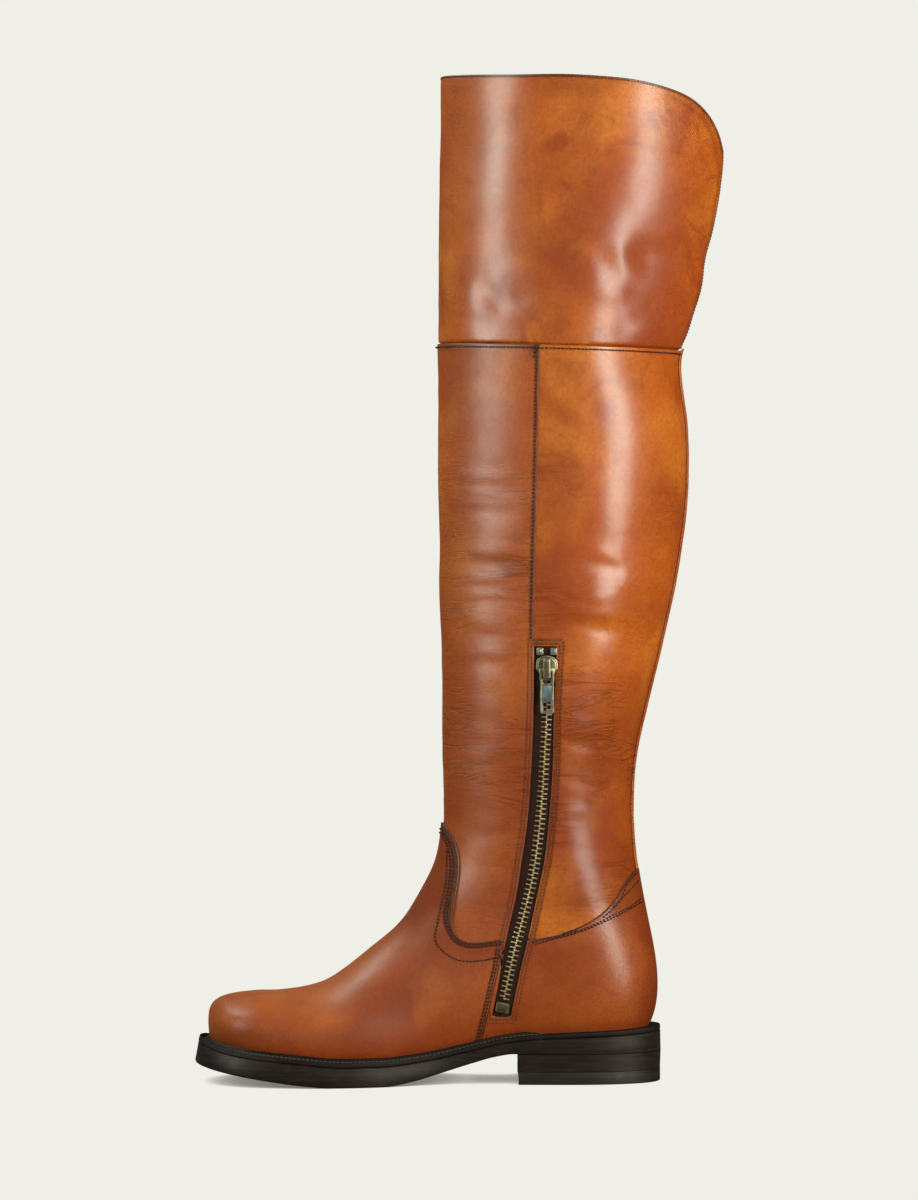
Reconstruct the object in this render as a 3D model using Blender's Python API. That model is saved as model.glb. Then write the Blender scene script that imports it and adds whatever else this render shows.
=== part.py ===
"""Over-the-knee boot for the right foot, as an assembly of its leather panels, sole pieces and side zip.

Tables and sizes are in millimetres and become metres when a mesh is made. The toe points towards -X, the
inner (medial) side of the leg towards -Y, +Z is up, and the origin is on the floor under the boot's middle.

The upper's form is one function, skin(): a fan of sections that lie flat across the shaft, tilt round the
heel and stand upright across the foot. Every leather piece is a wall between two depths of that skin, and
the sole takes its outline from the line where the leather meets the welt.
"""

import math

import bmesh
import bpy
import numpy as np
from mathutils import Matrix, Vector
from mathutils.bvhtree import BVHTree

MM = 0.001
GAP = 0.3  # clearance between neighbouring pieces

# Cutters reach past the boot, to these places
ASIDE_Y = 120.0
BEHIND_X = 230.0
ABOVE_Z = 660.0

# Leather
RIM_Z = 607.2  # highest, at the front
WALL = 2.0  # leather and lining together
OVERLAY = 1.4  # vamp and counter
OVERLAY_OUT = GAP + OVERLAY
CUFF_INSET = 0.7  # the shaft laps over the cuff, which lies this much deeper
CUFF_TUCK = 9.0  # length of the cuff inside the shaft
LAP_STEP = 0.9  # height of the front panel's edge over the back panel
LAP_FADE = 32.0  # the step's height fades forward over this length
STRIP_WIDTH = 9.0
STRIP_THICK = 1.1
STRIP_ABOVE_COUNTER = 7.0
SLIT_TOP = 9.0  # half the opening of the cuff's back slit at the rim
SLIT_LOW = 0.4  # half the slit's width at the seam
SLIT_REACH = (110.0, 200.0)  # the slit's cutter runs from inside the leg to behind it
RIM_CUT = 0.3  # the rim lies this far below the first section
SEAM_X = 43.2  # the shaft's side seam at the height SEAM_Z
SEAM_Z = 270.0
SEAM_SLOPE = 0.0165

# Sole
WELT_THICK = 3.0
RAND_HIGH = 2.0
RAND_LOW = 0.15  # its height beside the heel
RAND_FADE = (38.0, 52.0)
RAND_THICK = 1.5
LIFT_THICK = 7.6
BREAST_X = 35.5
BREAST_HOLLOW = 2.5
INSOLE_THICK = 2.6
INSOLE_CLEAR = 1.6
INSOLE_LIFT = 0.7
EDGE_BEVEL = 0.8

# Zip
WINDOW_WIDTH_TOP = 14.2
WINDOW_WIDTH_FOOT = 11.6
WINDOW_TOP_Z = 263.4
TAPE_DEPTH = -1.1
TAPE_THICK = 0.9
CHAIN_WIDTH = 6.2
CHAIN_THICK = 2.2
SLIDER_Z = 249.5  # height of the pull's axis
SLIDER_WIDTH = 12.8

# The skin is the outer face of the upper's wall. Each row is one section, from its front (or top) point to
# its back (or bottom) point, with half widths at a fifth, a half and four fifths of the way, the sideways
# place of both ends, and how square both ends are (2 is round).
SECTION_COLUMNS = (
    "name", "front_x", "front_z", "back_x", "back_z",
    "half_front", "half_mid", "half_back", "side_front", "side_back", "square_front", "square_back",
)
SECTIONS = (
    ("rim", -11.5, 609.0, 162.6, 609.0, 52.0, 57.0, 52.0, 0.0, 0.0, 2.0, 2.0),
    ("cuff corner", -12.2, 562.0, 161.9, 562.0, 50.5, 55.5, 51.0, 0.0, 0.0, 2.0, 2.0),
    ("cuff middle", -12.7, 512.0, 154.9, 512.0, 49.0, 53.5, 49.5, 0.0, 0.0, 2.0, 2.0),
    ("cuff low", -13.0, 470.0, 144.2, 468.0, 47.5, 51.8, 48.0, 0.0, 0.0, 2.0, 2.0),
    ("shaft seam", -12.9, 445.3, 134.2, 441.2, 46.5, 50.5, 47.0, 0.0, 0.0, 2.0, 2.0),
    ("calf high", -12.6, 411.0, 135.7, 409.0, 46.0, 49.8, 46.5, 0.0, 0.0, 2.0, 2.0),
    ("calf", -12.6, 369.0, 137.6, 369.0, 46.0, 49.6, 46.0, 0.0, 0.0, 2.0, 2.0),
    ("calf low", -12.0, 326.6, 134.5, 326.6, 45.0, 48.6, 44.6, 0.0, 0.0, 2.0, 2.0),
    ("taper", -11.6, 290.0, 127.7, 290.0, 43.4, 46.6, 42.6, 0.0, 0.0, 2.0, 2.0),
    ("shin", -10.7, 254.0, 119.7, 254.0, 41.6, 44.4, 40.4, 0.0, 0.0, 2.0, 2.0),
    ("shin low", -10.1, 217.5, 111.0, 217.5, 39.6, 42.0, 38.0, 0.0, 0.0, 2.0, 2.0),
    ("ankle high", -9.5, 187.0, 105.3, 185.0, 37.6, 39.6, 35.8, 0.0, 0.0, 2.0, 2.0),
    ("ankle", -8.8, 164.0, 104.9, 155.0, 36.2, 38.0, 34.2, -0.3, 0.0, 2.0, 2.0),
    ("heel high", -9.7, 148.0, 108.1, 124.0, 35.4, 37.0, 33.8, -0.8, 0.0, 2.0, 2.1),
    ("heel bulge", -11.8, 136.0, 114.2, 92.0, 35.4, 36.2, 34.6, -1.2, 0.0, 2.0, 2.2),
    ("heel round", -14.6, 127.5, 118.6, 62.0, 35.6, 35.4, 35.4, -1.7, 0.0, 2.0, 2.3),
    ("heel seat", -18.4, 119.5, 114.6, 36.0, 35.6, 34.6, 35.6, -2.2, 0.0, 2.0, 2.4),
    ("heel under", -24.0, 109.0, 97.0, 19.0, 35.2, 33.6, 34.8, -2.8, 0.2, 2.1, 2.6),
    ("shank", -30.6, 98.0, 68.0, 15.0, 34.8, 33.6, 33.2, -3.3, 1.0, 2.1, 2.9),
    ("waist", -39.2, 88.2, 36.0, 11.0, 34.7, 34.6, 32.2, -3.8, 2.4, 2.1, 3.1),
    ("instep", -49.4, 79.4, 4.0, 6.0, 35.4, 37.2, 33.6, -4.3, 3.4, 2.1, 3.2),
    ("joint back", -60.4, 70.0, -30.0, 1.0, 36.9, 42.2, 39.8, -4.7, 2.2, 2.1, 3.2),
    ("ball", -70.4, 62.3, -60.0, -2.0, 38.6, 46.0, 43.8, -5.0, 0.4, 2.1, 3.2),
    ("toes", -81.0, 56.4, -80.0, -1.0, 40.2, 46.8, 44.4, -5.2, -0.8, 2.15, 3.2),
    ("toe cap", -95.0, 53.0, -95.0, 2.0, 41.2, 46.4, 43.6, -5.6, -2.0, 2.2, 3.2),
    ("toe base", -109.2, 51.8, -109.2, 5.0, 41.0, 44.8, 42.0, -6.0, -3.2, 2.25, 3.2),
)
TOE_LENGTH = 40.0  # from the last section to the toe's tip
TOE_POLE_Z = 33.0  # height of the toe's foremost point
TOE_POLE_SIDE = -7.0
TOE_ROUND_PLAN = 2.35
TOE_ROUND_SIDE = 5.0
TOE_ROWS = (0.0, 0.46, 0.76, 0.91, 0.967, 0.995)  # rows of the toe's grid, from its base to its tip

# Height of the welt's top along the boot, the outsole's underside, the bare margin of welt outside the
# leather, and how far the sole's side flares between top and bottom.
WELT_TOP = (
    (-162.0, 29.0), (-157.0, 27.8), (-150.0, 25.4), (-142.0, 23.2), (-123.0, 20.2), (-98.0, 17.5),
    (-68.0, 15.0), (-46.0, 15.1), (-22.0, 17.4), (3.0, 22.3), (26.0, 27.6), (45.0, 30.0), (71.0, 31.3),
    (99.0, 32.3), (122.0, 33.7),
)
SOLE_BOTTOM = (
    (-162.0, 13.6), (-154.0, 11.2), (-136.0, 7.6), (-113.0, 3.9), (-91.0, 1.1), (-76.0, 0.0), (-46.0, 0.0),
    (-28.0, 2.6), (-9.6, 7.6), (9.0, 13.2), (22.0, 16.8), (33.0, 18.4), (122.0, 18.4),
)
MARGIN = (
    (-160.0, 6.6), (-120.0, 6.2), (-60.0, 5.9), (-15.0, 4.6), (15.0, 3.7), (60.0, 3.4), (95.0, 4.4),
    (117.0, 7.0),
)
FLARE = ((-160.0, 2.6), (-120.0, 1.6), (-20.0, 1.0), (25.0, 0.4), (122.0, 0.3))

# Side outlines as (x, z). A smooth curve runs through the rows.
VAMP_EDGE = (
    (-10.6, 157.0), (-4.8, 150.5), (-0.8, 141.3), (0.6, 131.0), (-1.0, 116.6), (-3.6, 101.0), (-3.4, 92.5),
    (0.6, 87.3), (6.6, 85.4), (15.3, 85.9), (25.2, 87.3),
)
SIDE_SEAM = ((25.2, 87.3), (22.9, 75.3), (19.2, 61.4), (16.4, 49.7), (12.0, 32.6), (8.0, 15.0), (5.0, 3.0))
COUNTER_EDGE = (
    (25.2, 87.3), (44.9, 87.4), (52.1, 88.8), (63.5, 91.2), (72.5, 95.0), (80.0, 98.8), (87.7, 104.2),
    (93.1, 110.0), (97.8, 117.0), (102.6, 123.4), (108.9, 128.6),
)
CUFF_EDGE = (
    (-60.0, 609.4), (-14.0, 607.2), (0.0, 606.6), (18.0, 605.6), (38.0, 604.8), (60.0, 604.6),
    (84.0, 603.4), (107.0, 601.3), (124.4, 597.6), (140.5, 591.6), (151.8, 581.8), (158.4, 570.6),
    (161.9, 557.0), (164.0, 540.0),
)
ZIP_PATH = (
    (52.5, 275.0), (52.5, 245.0), (52.5, 222.0), (51.4, 197.0), (49.7, 167.4), (47.4, 147.6), (44.6, 129.6),
    (40.9, 112.0), (36.4, 95.0), (32.9, 79.9), (28.4, 58.9), (25.6, 45.0), (24.2, 37.0),
)

# Colours
COGNAC = (0.42, 0.13, 0.035)
COGNAC_DARK = (0.33, 0.09, 0.025)
SOLE_BLACK = (0.022, 0.018, 0.016)
TAPE_BROWN = (0.06, 0.03, 0.02)
BRASS = (0.30, 0.21, 0.09)
STEEL = (0.38, 0.37, 0.35)
TAN = (0.45, 0.30, 0.17)


# Curves

def natural_spline(knots, values):
    """A curve with even bending through the values, which runs on straight past its ends."""
    knots = np.asarray(knots, float)
    values = np.asarray(values, float)
    steps = np.diff(knots)
    slopes = np.diff(values) / steps
    count = len(knots)
    matrix = np.eye(count)
    right = np.zeros(count)
    for i in range(1, count - 1):
        matrix[i, i - 1:i + 2] = (steps[i - 1], 2 * (steps[i - 1] + steps[i]), steps[i])
        right[i] = 6 * (slopes[i] - slopes[i - 1])
    bend = np.linalg.solve(matrix, right)
    first = slopes[0] - steps[0] * bend[1] / 6
    last = slopes[-1] + steps[-1] * bend[-2] / 6

    def curve(at):
        at = np.asarray(at, float)
        i = np.clip(np.searchsorted(knots, at) - 1, 0, count - 2)
        inside = np.clip(at, knots[0], knots[-1])
        a = (knots[i + 1] - inside) / steps[i]
        b = 1 - a
        bent = ((a**3 - a) * bend[i] + (b**3 - b) * bend[i + 1]) * steps[i] ** 2 / 6
        ends = np.minimum(at - knots[0], 0) * first + np.maximum(at - knots[-1], 0) * last
        return a * values[i] + b * values[i + 1] + bent + ends

    return curve


def level_curve(rows):
    """A curve through (place, height) rows that never overshoots them, so a flat stretch stays flat."""
    knots = np.array([row[0] for row in rows])
    values = np.array([row[1] for row in rows])
    steps = np.diff(knots)
    slopes = np.diff(values) / steps
    tangents = np.zeros(len(knots))
    tangents[0] = slopes[0]
    tangents[-1] = slopes[-1]
    for i in range(1, len(knots) - 1):
        if slopes[i - 1] * slopes[i] > 0:
            tangents[i] = 2 / (1 / slopes[i - 1] + 1 / slopes[i])

    def curve(at):
        at = np.clip(np.asarray(at, float), knots[0], knots[-1])
        i = np.clip(np.searchsorted(knots, at) - 1, 0, len(knots) - 2)
        b = (at - knots[i]) / steps[i]
        a = 1 - b
        straight = a**2 * (1 + 2 * b) * values[i] + b**2 * (1 + 2 * a) * values[i + 1]
        return straight + a * b * steps[i] * (a * tangents[i] - b * tangents[i + 1])

    return curve


def smooth_line(points, per_step=4):
    """The points of a smooth line through these points."""
    points = np.asarray(points, float)
    knots = np.concatenate([[0], np.cumsum(np.linalg.norm(np.diff(points, axis=0), axis=1))])
    at = np.concatenate(
        [np.linspace(a, b, per_step, endpoint=False) for a, b in zip(knots[:-1], knots[1:])] + [knots[-1:]]
    )
    curves = [natural_spline(knots, points[:, k]) for k in range(points.shape[1])]
    return np.stack([curve(at) for curve in curves], axis=-1)


def smooth_step(at, low, high):
    t = np.clip((np.asarray(at, float) - low) / (high - low), 0, 1)
    return t * t * (3 - 2 * t)


welt_top = level_curve(WELT_TOP)
sole_bottom = level_curve(SOLE_BOTTOM)
margin = level_curve(MARGIN)
flare = level_curve(FLARE)


# The skin

def section_table():
    rows = np.array([row[1:] for row in SECTIONS], float)
    ends = rows[:, :4]
    travel = np.diff(ends, axis=0)
    lengths = (np.hypot(travel[:, 0], travel[:, 1]) + np.hypot(travel[:, 2], travel[:, 3])) / 2
    along = np.concatenate([[0], np.cumsum(lengths)])
    curves = {name: natural_spline(along, rows[:, k]) for k, name in enumerate(SECTION_COLUMNS[1:])}
    return along, curves


ALONG, COLUMN = section_table()
PLACE = {row[0]: place for row, place in zip(SECTIONS, ALONG)}
TOE_BASE = ALONG[-1]
TOE_END = TOE_BASE + TOE_LENGTH


def skin(along, angle):
    """Points of the upper's outer face. angle runs from 0 at the front over the inner side to the back."""
    along, angle = np.broadcast_arrays(np.asarray(along, float), np.asarray(angle, float))
    row = {name: curve(along) for name, curve in COLUMN.items()}
    into_toe = np.clip((along - TOE_BASE) / TOE_LENGTH, 0, 1)
    plan = (1 - into_toe**TOE_ROUND_PLAN) ** (1 / TOE_ROUND_PLAN)
    side = (1 - into_toe**TOE_ROUND_SIDE) ** (1 / TOE_ROUND_SIDE)
    front_z = TOE_POLE_Z + (row["front_z"] - TOE_POLE_Z) * side
    back_z = TOE_POLE_Z + (row["back_z"] - TOE_POLE_Z) * side
    in_cap = along > TOE_BASE
    front_z = np.where(in_cap, front_z, row["front_z"])
    back_z = np.where(in_cap, back_z, row["back_z"])
    part = (1 - np.cos(angle)) / 2
    square = row["square_front"] + (row["square_back"] - row["square_front"]) * smooth_step(part, 0, 1)
    end_shape = np.maximum(1 - np.abs(np.cos(angle)) ** square, 0) ** (1 / square)
    u = (part - 0.5) / 0.3
    fifth = row["half_front"] * u * (u - 1) / 2
    half = row["half_mid"] * (1 - u * u)
    fifths = row["half_back"] * u * (u + 1) / 2
    width = fifth + half + fifths
    centre = row["side_front"] + (row["side_back"] - row["side_front"]) * part
    centre = centre + (TOE_POLE_SIDE - centre) * into_toe**3
    x = row["front_x"] + (row["back_x"] - row["front_x"]) * part
    y = centre - np.sign(np.sin(angle)) * end_shape * width * plan
    z = front_z + (back_z - front_z) * part
    return np.stack([x, y, z], axis=-1)


def outward(along, angle):
    """Unit normals of the skin."""
    small = 0.004
    along, angle = np.broadcast_arrays(np.asarray(along, float), np.asarray(angle, float))
    low = np.maximum(along - 0.4, 0)
    high = np.minimum(along + 0.4, TOE_END)
    down = skin(high, angle) - skin(low, angle)
    round_ = skin(along, angle + small) - skin(along, angle - small)
    normal = np.cross(down, round_)
    length = np.linalg.norm(normal, axis=-1, keepdims=True)
    tip = np.zeros(normal.shape)
    tip[..., 0] = -1
    return np.where(length > 1e-7, normal / np.maximum(length, 1e-12), tip)


def at_depth(along, angle, depth):
    """Points of the skin moved outwards by depth, which is negative inside the wall."""
    return skin(along, angle) + outward(along, angle) * np.asarray(depth, float)[..., None]


def seam_angle(along):
    """The angle at which the shaft's side seam runs, easing to the section's widest place in the foot."""
    row = {name: COLUMN[name](along) for name in ("front_x", "back_x", "front_z", "back_z")}
    seam_x = SEAM_X + SEAM_SLOPE * ((row["front_z"] + row["back_z"]) / 2 - SEAM_Z)
    depth = np.maximum(row["back_x"] - row["front_x"], 1.0)
    part = np.clip((seam_x - row["front_x"]) / depth, 0.05, 0.95)
    in_shaft = 1 - smooth_step(along, PLACE["ankle high"], PLACE["heel round"])
    return np.arccos(1 - 2 * part) * in_shaft + math.pi / 2 * (1 - in_shaft)


# Solids

def mesh_object(name, points, faces, material, smooth=True):
    """A node whose faces are turned outwards, with its material."""
    mesh = bpy.data.meshes.new(name)
    mesh.from_pydata([Vector(point) * MM for point in np.asarray(points, float)], [], faces)
    bm = bmesh.new()
    bm.from_mesh(mesh)
    bmesh.ops.recalc_face_normals(bm, faces=bm.faces)
    bm.to_mesh(mesh)
    bm.free()
    if smooth:
        mesh.shade_smooth()
        mesh.set_sharp_from_angle(angle=math.radians(35))
    if material:
        mesh.materials.append(material)
    node = bpy.data.objects.new(name, mesh)
    bpy.context.scene.collection.objects.link(node)
    return node


def grid_faces(rows, columns, start, wrap):
    """Triangles between the rows of a grid of points."""
    faces = []
    for i in range(rows - 1):
        for j in range(columns if wrap else columns - 1):
            k = (j + 1) % columns
            a = start + i * columns + j
            b = start + i * columns + k
            c, d = a + columns, b + columns
            faces += [(a, c, d), (a, d, b)]
    return faces


def ring_band(first, second, columns, wrap=True):
    """Faces that join two rows of a grid."""
    faces = []
    for j in range(columns if wrap else columns - 1):
        k = (j + 1) % columns
        faces.append((first + j, first + k, second + k, second + j))
    return faces


def wall(name, outer, inner, material, tip=None):
    """A hollow tube between two grids of rings, open at its first ring, and closed to a tip or open at its
    last."""
    rows, columns = outer.shape[:2]
    points = np.concatenate([outer.reshape(-1, 3), inner.reshape(-1, 3)])
    second = rows * columns
    faces = grid_faces(rows, columns, 0, True)
    faces += [face[::-1] for face in grid_faces(rows, columns, second, True)]
    faces += ring_band(0, second, columns)
    last = second - columns
    if tip is None:
        faces += ring_band(last, last + second, columns)
    else:
        points = np.concatenate([points, np.asarray(tip)])
        for j in range(columns):
            k = (j + 1) % columns
            faces.append((last + j, 2 * second, last + k))
            faces.append((last + second + k, 2 * second + 1, last + second + j))
    return mesh_object(name, points, faces, material)


def patch(name, outer, inner, material):
    """A solid sheet between two open grids of points."""
    rows, columns = outer.shape[:2]
    points = np.concatenate([outer.reshape(-1, 3), inner.reshape(-1, 3)])
    second = rows * columns
    faces = grid_faces(rows, columns, 0, False)
    faces += [face[::-1] for face in grid_faces(rows, columns, second, False)]
    faces += ring_band(0, second, columns, False)
    faces += ring_band(second - columns, 2 * second - columns, columns, False)
    for i in range(rows - 1):
        for j in (0, columns - 1):
            a, b = i * columns + j, (i + 1) * columns + j
            faces.append((a, b, b + second, a + second))
    return mesh_object(name, points, faces, material)


def ring_solid(name, rings, material, caps=True):
    """A solid from stacked rings. Each ring starts at the back and its two halves pair up, so the caps are
    ruled straight across. Without caps the last ring joins the first."""
    count = len(rings[0])
    points = np.concatenate(rings)
    faces = []
    for k in range(len(rings) - 1):
        faces += ring_band(k * count, (k + 1) * count, count)
    if not caps:
        faces += ring_band((len(rings) - 1) * count, 0, count)
        return mesh_object(name, points, faces, material)
    for start in (0, (len(rings) - 1) * count):
        faces.append((start, start + 1, start + count - 1))
        for j in range(1, count // 2 - 1):
            faces.append((start + j, start + j + 1, start + count - j - 1, start + count - j))
        middle = count // 2
        faces.append((start + middle - 1, start + middle, start + middle + 1))
    return mesh_object(name, points, faces, material)


def prism(name, outline, low_y, high_y):
    """A cutter with this side outline, from low_y to high_y."""
    outline = np.asarray(outline, float)
    count = len(outline)
    near = np.column_stack([outline[:, 0], np.full(count, low_y), outline[:, 1]])
    far = np.column_stack([outline[:, 0], np.full(count, high_y), outline[:, 1]])
    faces = [tuple(range(count)), tuple(range(2 * count - 1, count - 1, -1))]
    faces += ring_band(0, count, count)
    return hide(mesh_object(name, np.concatenate([near, far]), faces, None, smooth=False))


def hide(node):
    node.hide_render = True
    node.display_type = "WIRE"
    return node


def boolean(node, cutter, operation="DIFFERENCE"):
    modifier = node.modifiers.new(cutter.name, "BOOLEAN")
    modifier.object = cutter
    modifier.operation = operation
    modifier.solver = "EXACT"


def finish(name, colour, roughness, metallic=0.0):
    material = bpy.data.materials.new(name)
    material.use_nodes = True
    shader = material.node_tree.nodes["Principled BSDF"]
    shader.inputs["Base Color"].default_value = (*colour, 1.0)
    shader.inputs["Roughness"].default_value = roughness
    shader.inputs["Metallic"].default_value = metallic
    material.diffuse_color = (*colour, 1.0)
    return material


# Places on the inner side

def inner_side_tree():
    """The inner half of the skin, for finding the place at a given x and z."""
    into_toe = TOE_BASE + TOE_LENGTH * np.linspace(0.05, 0.999, 12)
    along = np.concatenate([np.linspace(0, TOE_BASE, 200), into_toe])
    angle = np.linspace(0.01, math.pi - 0.01, 80)
    points = skin(along[:, None], angle[None, :])
    rows, columns = points.shape[:2]
    faces = grid_faces(rows, columns, 0, False)
    return BVHTree.FromPolygons([tuple(p) for p in points.reshape(-1, 3)], faces)


INNER_SIDE = inner_side_tree()


def inner_y(x, z):
    hit = INNER_SIDE.ray_cast(Vector((x, -300.0, z)), Vector((0.0, 1.0, 0.0)))[0]
    return hit.y


def inner_point(x, z, depth=0.0):
    """The place on the inner side at this x and z, moved outwards by depth, and the normal there."""
    reach = 1.5
    across = Vector((2 * reach, inner_y(x + reach, z) - inner_y(x - reach, z), 0.0))
    upward = Vector((0.0, inner_y(x, z + reach) - inner_y(x, z - reach), 2 * reach))
    normal = across.cross(upward).normalized()
    if normal.y > 0:
        normal = -normal
    return Vector((x, inner_y(x, z), z)) + normal * depth, normal


# The line where the leather meets the sole

OUTLINE_BEND = 45.0  # a turn of one radian draws the outline's points together like this many millimetres


def outline_at(depth, height, count):
    """The plan outline of the skin at this depth, where it crosses height(x), as count points that start at
    the back, run along the inner side to the toe and return along the outer side."""
    toe = TOE_BASE + TOE_LENGTH * np.sin(np.linspace(0.02, 0.4999 * math.pi, 60))
    along = np.concatenate([np.linspace(PLACE["ankle"], TOE_BASE, 300), toe])
    angle = np.linspace(0, 2 * math.pi, 361)
    points = at_depth(along[:, None], angle[None, :], np.full((len(along), len(angle)), depth))
    above = points[..., 2] - height(points[..., 0])
    found = []
    for axis in (0, 1):
        first = np.take(above, range(above.shape[axis] - 1), axis)
        second = np.take(above, range(1, above.shape[axis]), axis)
        start = np.take(points, range(above.shape[axis] - 1), axis)
        end = np.take(points, range(1, above.shape[axis]), axis)
        crossed = first * second < 0
        share = (first[crossed] / (first[crossed] - second[crossed]))[:, None]
        found.append(start[crossed] + (end[crossed] - start[crossed]) * share)
    found = np.concatenate(found)[:, :2]
    centre = np.array([-15.0, 0.0])
    turn = np.arctan2(-(found[:, 1] - centre[1]), found[:, 0] - centre[0]) % (2 * math.pi)
    order = np.argsort(turn)
    found, turn = found[order], turn[order]
    even = np.linspace(0, 2 * math.pi, 721)
    reach = np.hypot(*(found - centre).T)
    reach = np.interp(even, turn, reach, period=2 * math.pi)
    line = centre + np.stack([reach * np.cos(even), -reach * np.sin(even)], axis=-1)
    back, toe_tip = 0, int(np.argmin(line[:, 0]))
    halves = []
    for part in (line[back:toe_tip + 1], line[toe_tip:]):
        travel = np.diff(part, axis=0)
        heading = np.unwrap(np.arctan2(travel[:, 1], travel[:, 0]))
        bend = np.abs(np.gradient(np.convolve(np.pad(heading, 8, "edge"), np.ones(17) / 17, "valid")))
        lengths = np.concatenate([[0], np.cumsum(np.linalg.norm(travel, axis=1) + OUTLINE_BEND * bend)])
        at = np.linspace(0, lengths[-1], count // 2 + 1)[:-1]
        halves.append(np.stack([np.interp(at, lengths, part[:, k]) for k in (0, 1)], axis=-1))
    return np.concatenate(halves)


def spread(outline, distance):
    """The outline moved outwards, square to itself, by a distance for each point."""
    ahead = np.roll(outline, -1, axis=0) - np.roll(outline, 1, axis=0)
    ahead /= np.linalg.norm(ahead, axis=1, keepdims=True)
    outwards = np.stack([ahead[:, 1], -ahead[:, 0]], axis=-1)
    if (outwards * (outline - outline.mean(axis=0))).sum() < 0:
        outwards = -outwards
    return outline + outwards * np.broadcast_to(distance, len(outline))[:, None]


def ring(outline, z):
    return np.column_stack([outline, np.broadcast_to(z, len(outline))])


# Leather pieces

ROUND_COUNT = 28
SHAFT_ROWS = 9
CUFF_ROWS = 6


def column_angles(along):
    """Angles of the grid's columns for each row: the side seam is a column, doubled for the lap's step."""
    quarter = ROUND_COUNT // 4
    seam = seam_angle(along)[:, None]
    ahead = np.linspace(0, 1, quarter + 1)[None, :]
    lap = 0.012
    front = (seam - lap) * ahead
    back = (seam + lap) + (math.pi - seam - lap) * ahead
    inner = np.concatenate([front, back], axis=1)
    outer = 2 * math.pi - inner[:, -2:0:-1]
    return np.concatenate([inner, outer], axis=1)


def lap_height(along, angles):
    """How far the front panel stands over the back panel at its edge."""
    seam = seam_angle(along)[:, None]
    folded = np.where(angles > math.pi, 2 * math.pi - angles, angles)
    reach = LAP_FADE / 60.0
    ahead = (folded < seam) * smooth_step(folded, seam - reach, seam)
    inner_end = smooth_step(-along, -PLACE["shin"], -PLACE["shin"] + 18)[:, None]
    outer_end = smooth_step(-along, -PLACE["heel bulge"], -PLACE["heel high"])[:, None]
    return LAP_STEP * ahead * np.where(angles > math.pi, outer_end, inner_end)


def strip_end():
    """Where the back strip ends, just above the counter."""
    return PLACE["heel high"] - STRIP_ABOVE_COUNTER


FIRST_ELBOW_ROW = 11
ROUND_HEEL_ROWS = (14, 15)


def foot_rows():
    places = [PLACE[row[0]] for row in SECTIONS]
    elbow = places[FIRST_ELBOW_ROW:]
    round_heel = [(places[k] + places[k + 1]) / 2 for k in ROUND_HEEL_ROWS]
    cap = TOE_BASE + TOE_LENGTH * np.array(TOE_ROWS)
    return np.unique(np.concatenate([elbow, round_heel, [strip_end()], cap]))


def toe_tips(depths):
    tip = np.array([-109.2 - TOE_LENGTH, TOE_POLE_SIDE, TOE_POLE_Z])
    return [tip - np.array([depth, 0, 0]) for depth in depths]


def shaft_rows():
    return np.linspace(PLACE["shaft seam"], PLACE["ankle high"], SHAFT_ROWS)


def make_upper(material, cutters):
    along = np.concatenate([shaft_rows()[:-1], foot_rows()])
    angles = column_angles(along)
    lap = lap_height(along, angles)
    outer = at_depth(along[:, None], angles, lap)
    inner = at_depth(along[:, None], angles, np.full(lap.shape, -WALL))
    node = wall("upper", outer, inner, material, toe_tips((0.0, -WALL)))
    for cutter in cutters:
        boolean(node, cutter)
    return node


def make_cuff(material):
    seam = PLACE["shaft seam"]
    above = seam - (GAP + LAP_STEP)
    rows = np.concatenate([np.linspace(RIM_CUT, above, CUFF_ROWS), [seam - 0.05, seam + CUFF_TUCK]])
    tucked = np.array([0.0] * CUFF_ROWS + [1.0, 1.0])[:, None]
    angles = column_angles(rows)
    shape = np.ones(angles.shape)
    depth = (-CUFF_INSET * (1 - tucked) - (WALL + GAP) * tucked) * shape
    outer = at_depth(rows[:, None], angles, depth)
    inner = at_depth(rows[:, None], angles, depth - (WALL - 0.2))
    node = wall("cuff", outer, inner, material)
    corner = smooth_line(CUFF_EDGE)
    above_rim = [(BEHIND_X, 540.0), (BEHIND_X, ABOVE_Z), (-60.0, ABOVE_Z)]
    boolean(node, prism("cuff_corner_cutter", np.concatenate([corner, above_rim]), -ASIDE_Y, ASIDE_Y))
    seam_z = SECTIONS[4][4]
    low, high = (SLIT_LOW, seam_z + 2.0), (SLIT_TOP, RIM_Z + 20.0)
    section = [(low[0], low[1]), (-low[0], low[1]), (-high[0], high[1]), (high[0], high[1])]
    points = [(x, y, z) for x in SLIT_REACH for y, z in section]
    faces = [(0, 1, 2, 3), (7, 6, 5, 4)] + ring_band(0, 4, 4)
    boolean(node, hide(mesh_object("cuff_slit_cutter", points, faces, None, smooth=False)))
    return node


def make_overlay(name, outline, material, cutters):
    """A foot overlay: a wall just over the upper, kept where it lies inside a side outline."""
    along = foot_rows()
    angles = column_angles(along)
    shape = np.ones(angles.shape)
    outer = at_depth(along[:, None], angles, OVERLAY_OUT * shape)
    inner = at_depth(along[:, None], angles, GAP * shape)
    node = wall(name, outer, inner, material, toe_tips((OVERLAY_OUT, GAP)))
    boolean(node, prism(name + "_outline", outline, -ASIDE_Y, ASIDE_Y), "INTERSECT")
    for cutter in cutters:
        boolean(node, cutter)
    return node


def vamp_outline():
    beyond = [(-260.0, 5.0), (-260.0, 157.0)]
    return np.concatenate([smooth_line(VAMP_EDGE, 2), smooth_line(SIDE_SEAM, 2)[1:], beyond])


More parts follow.
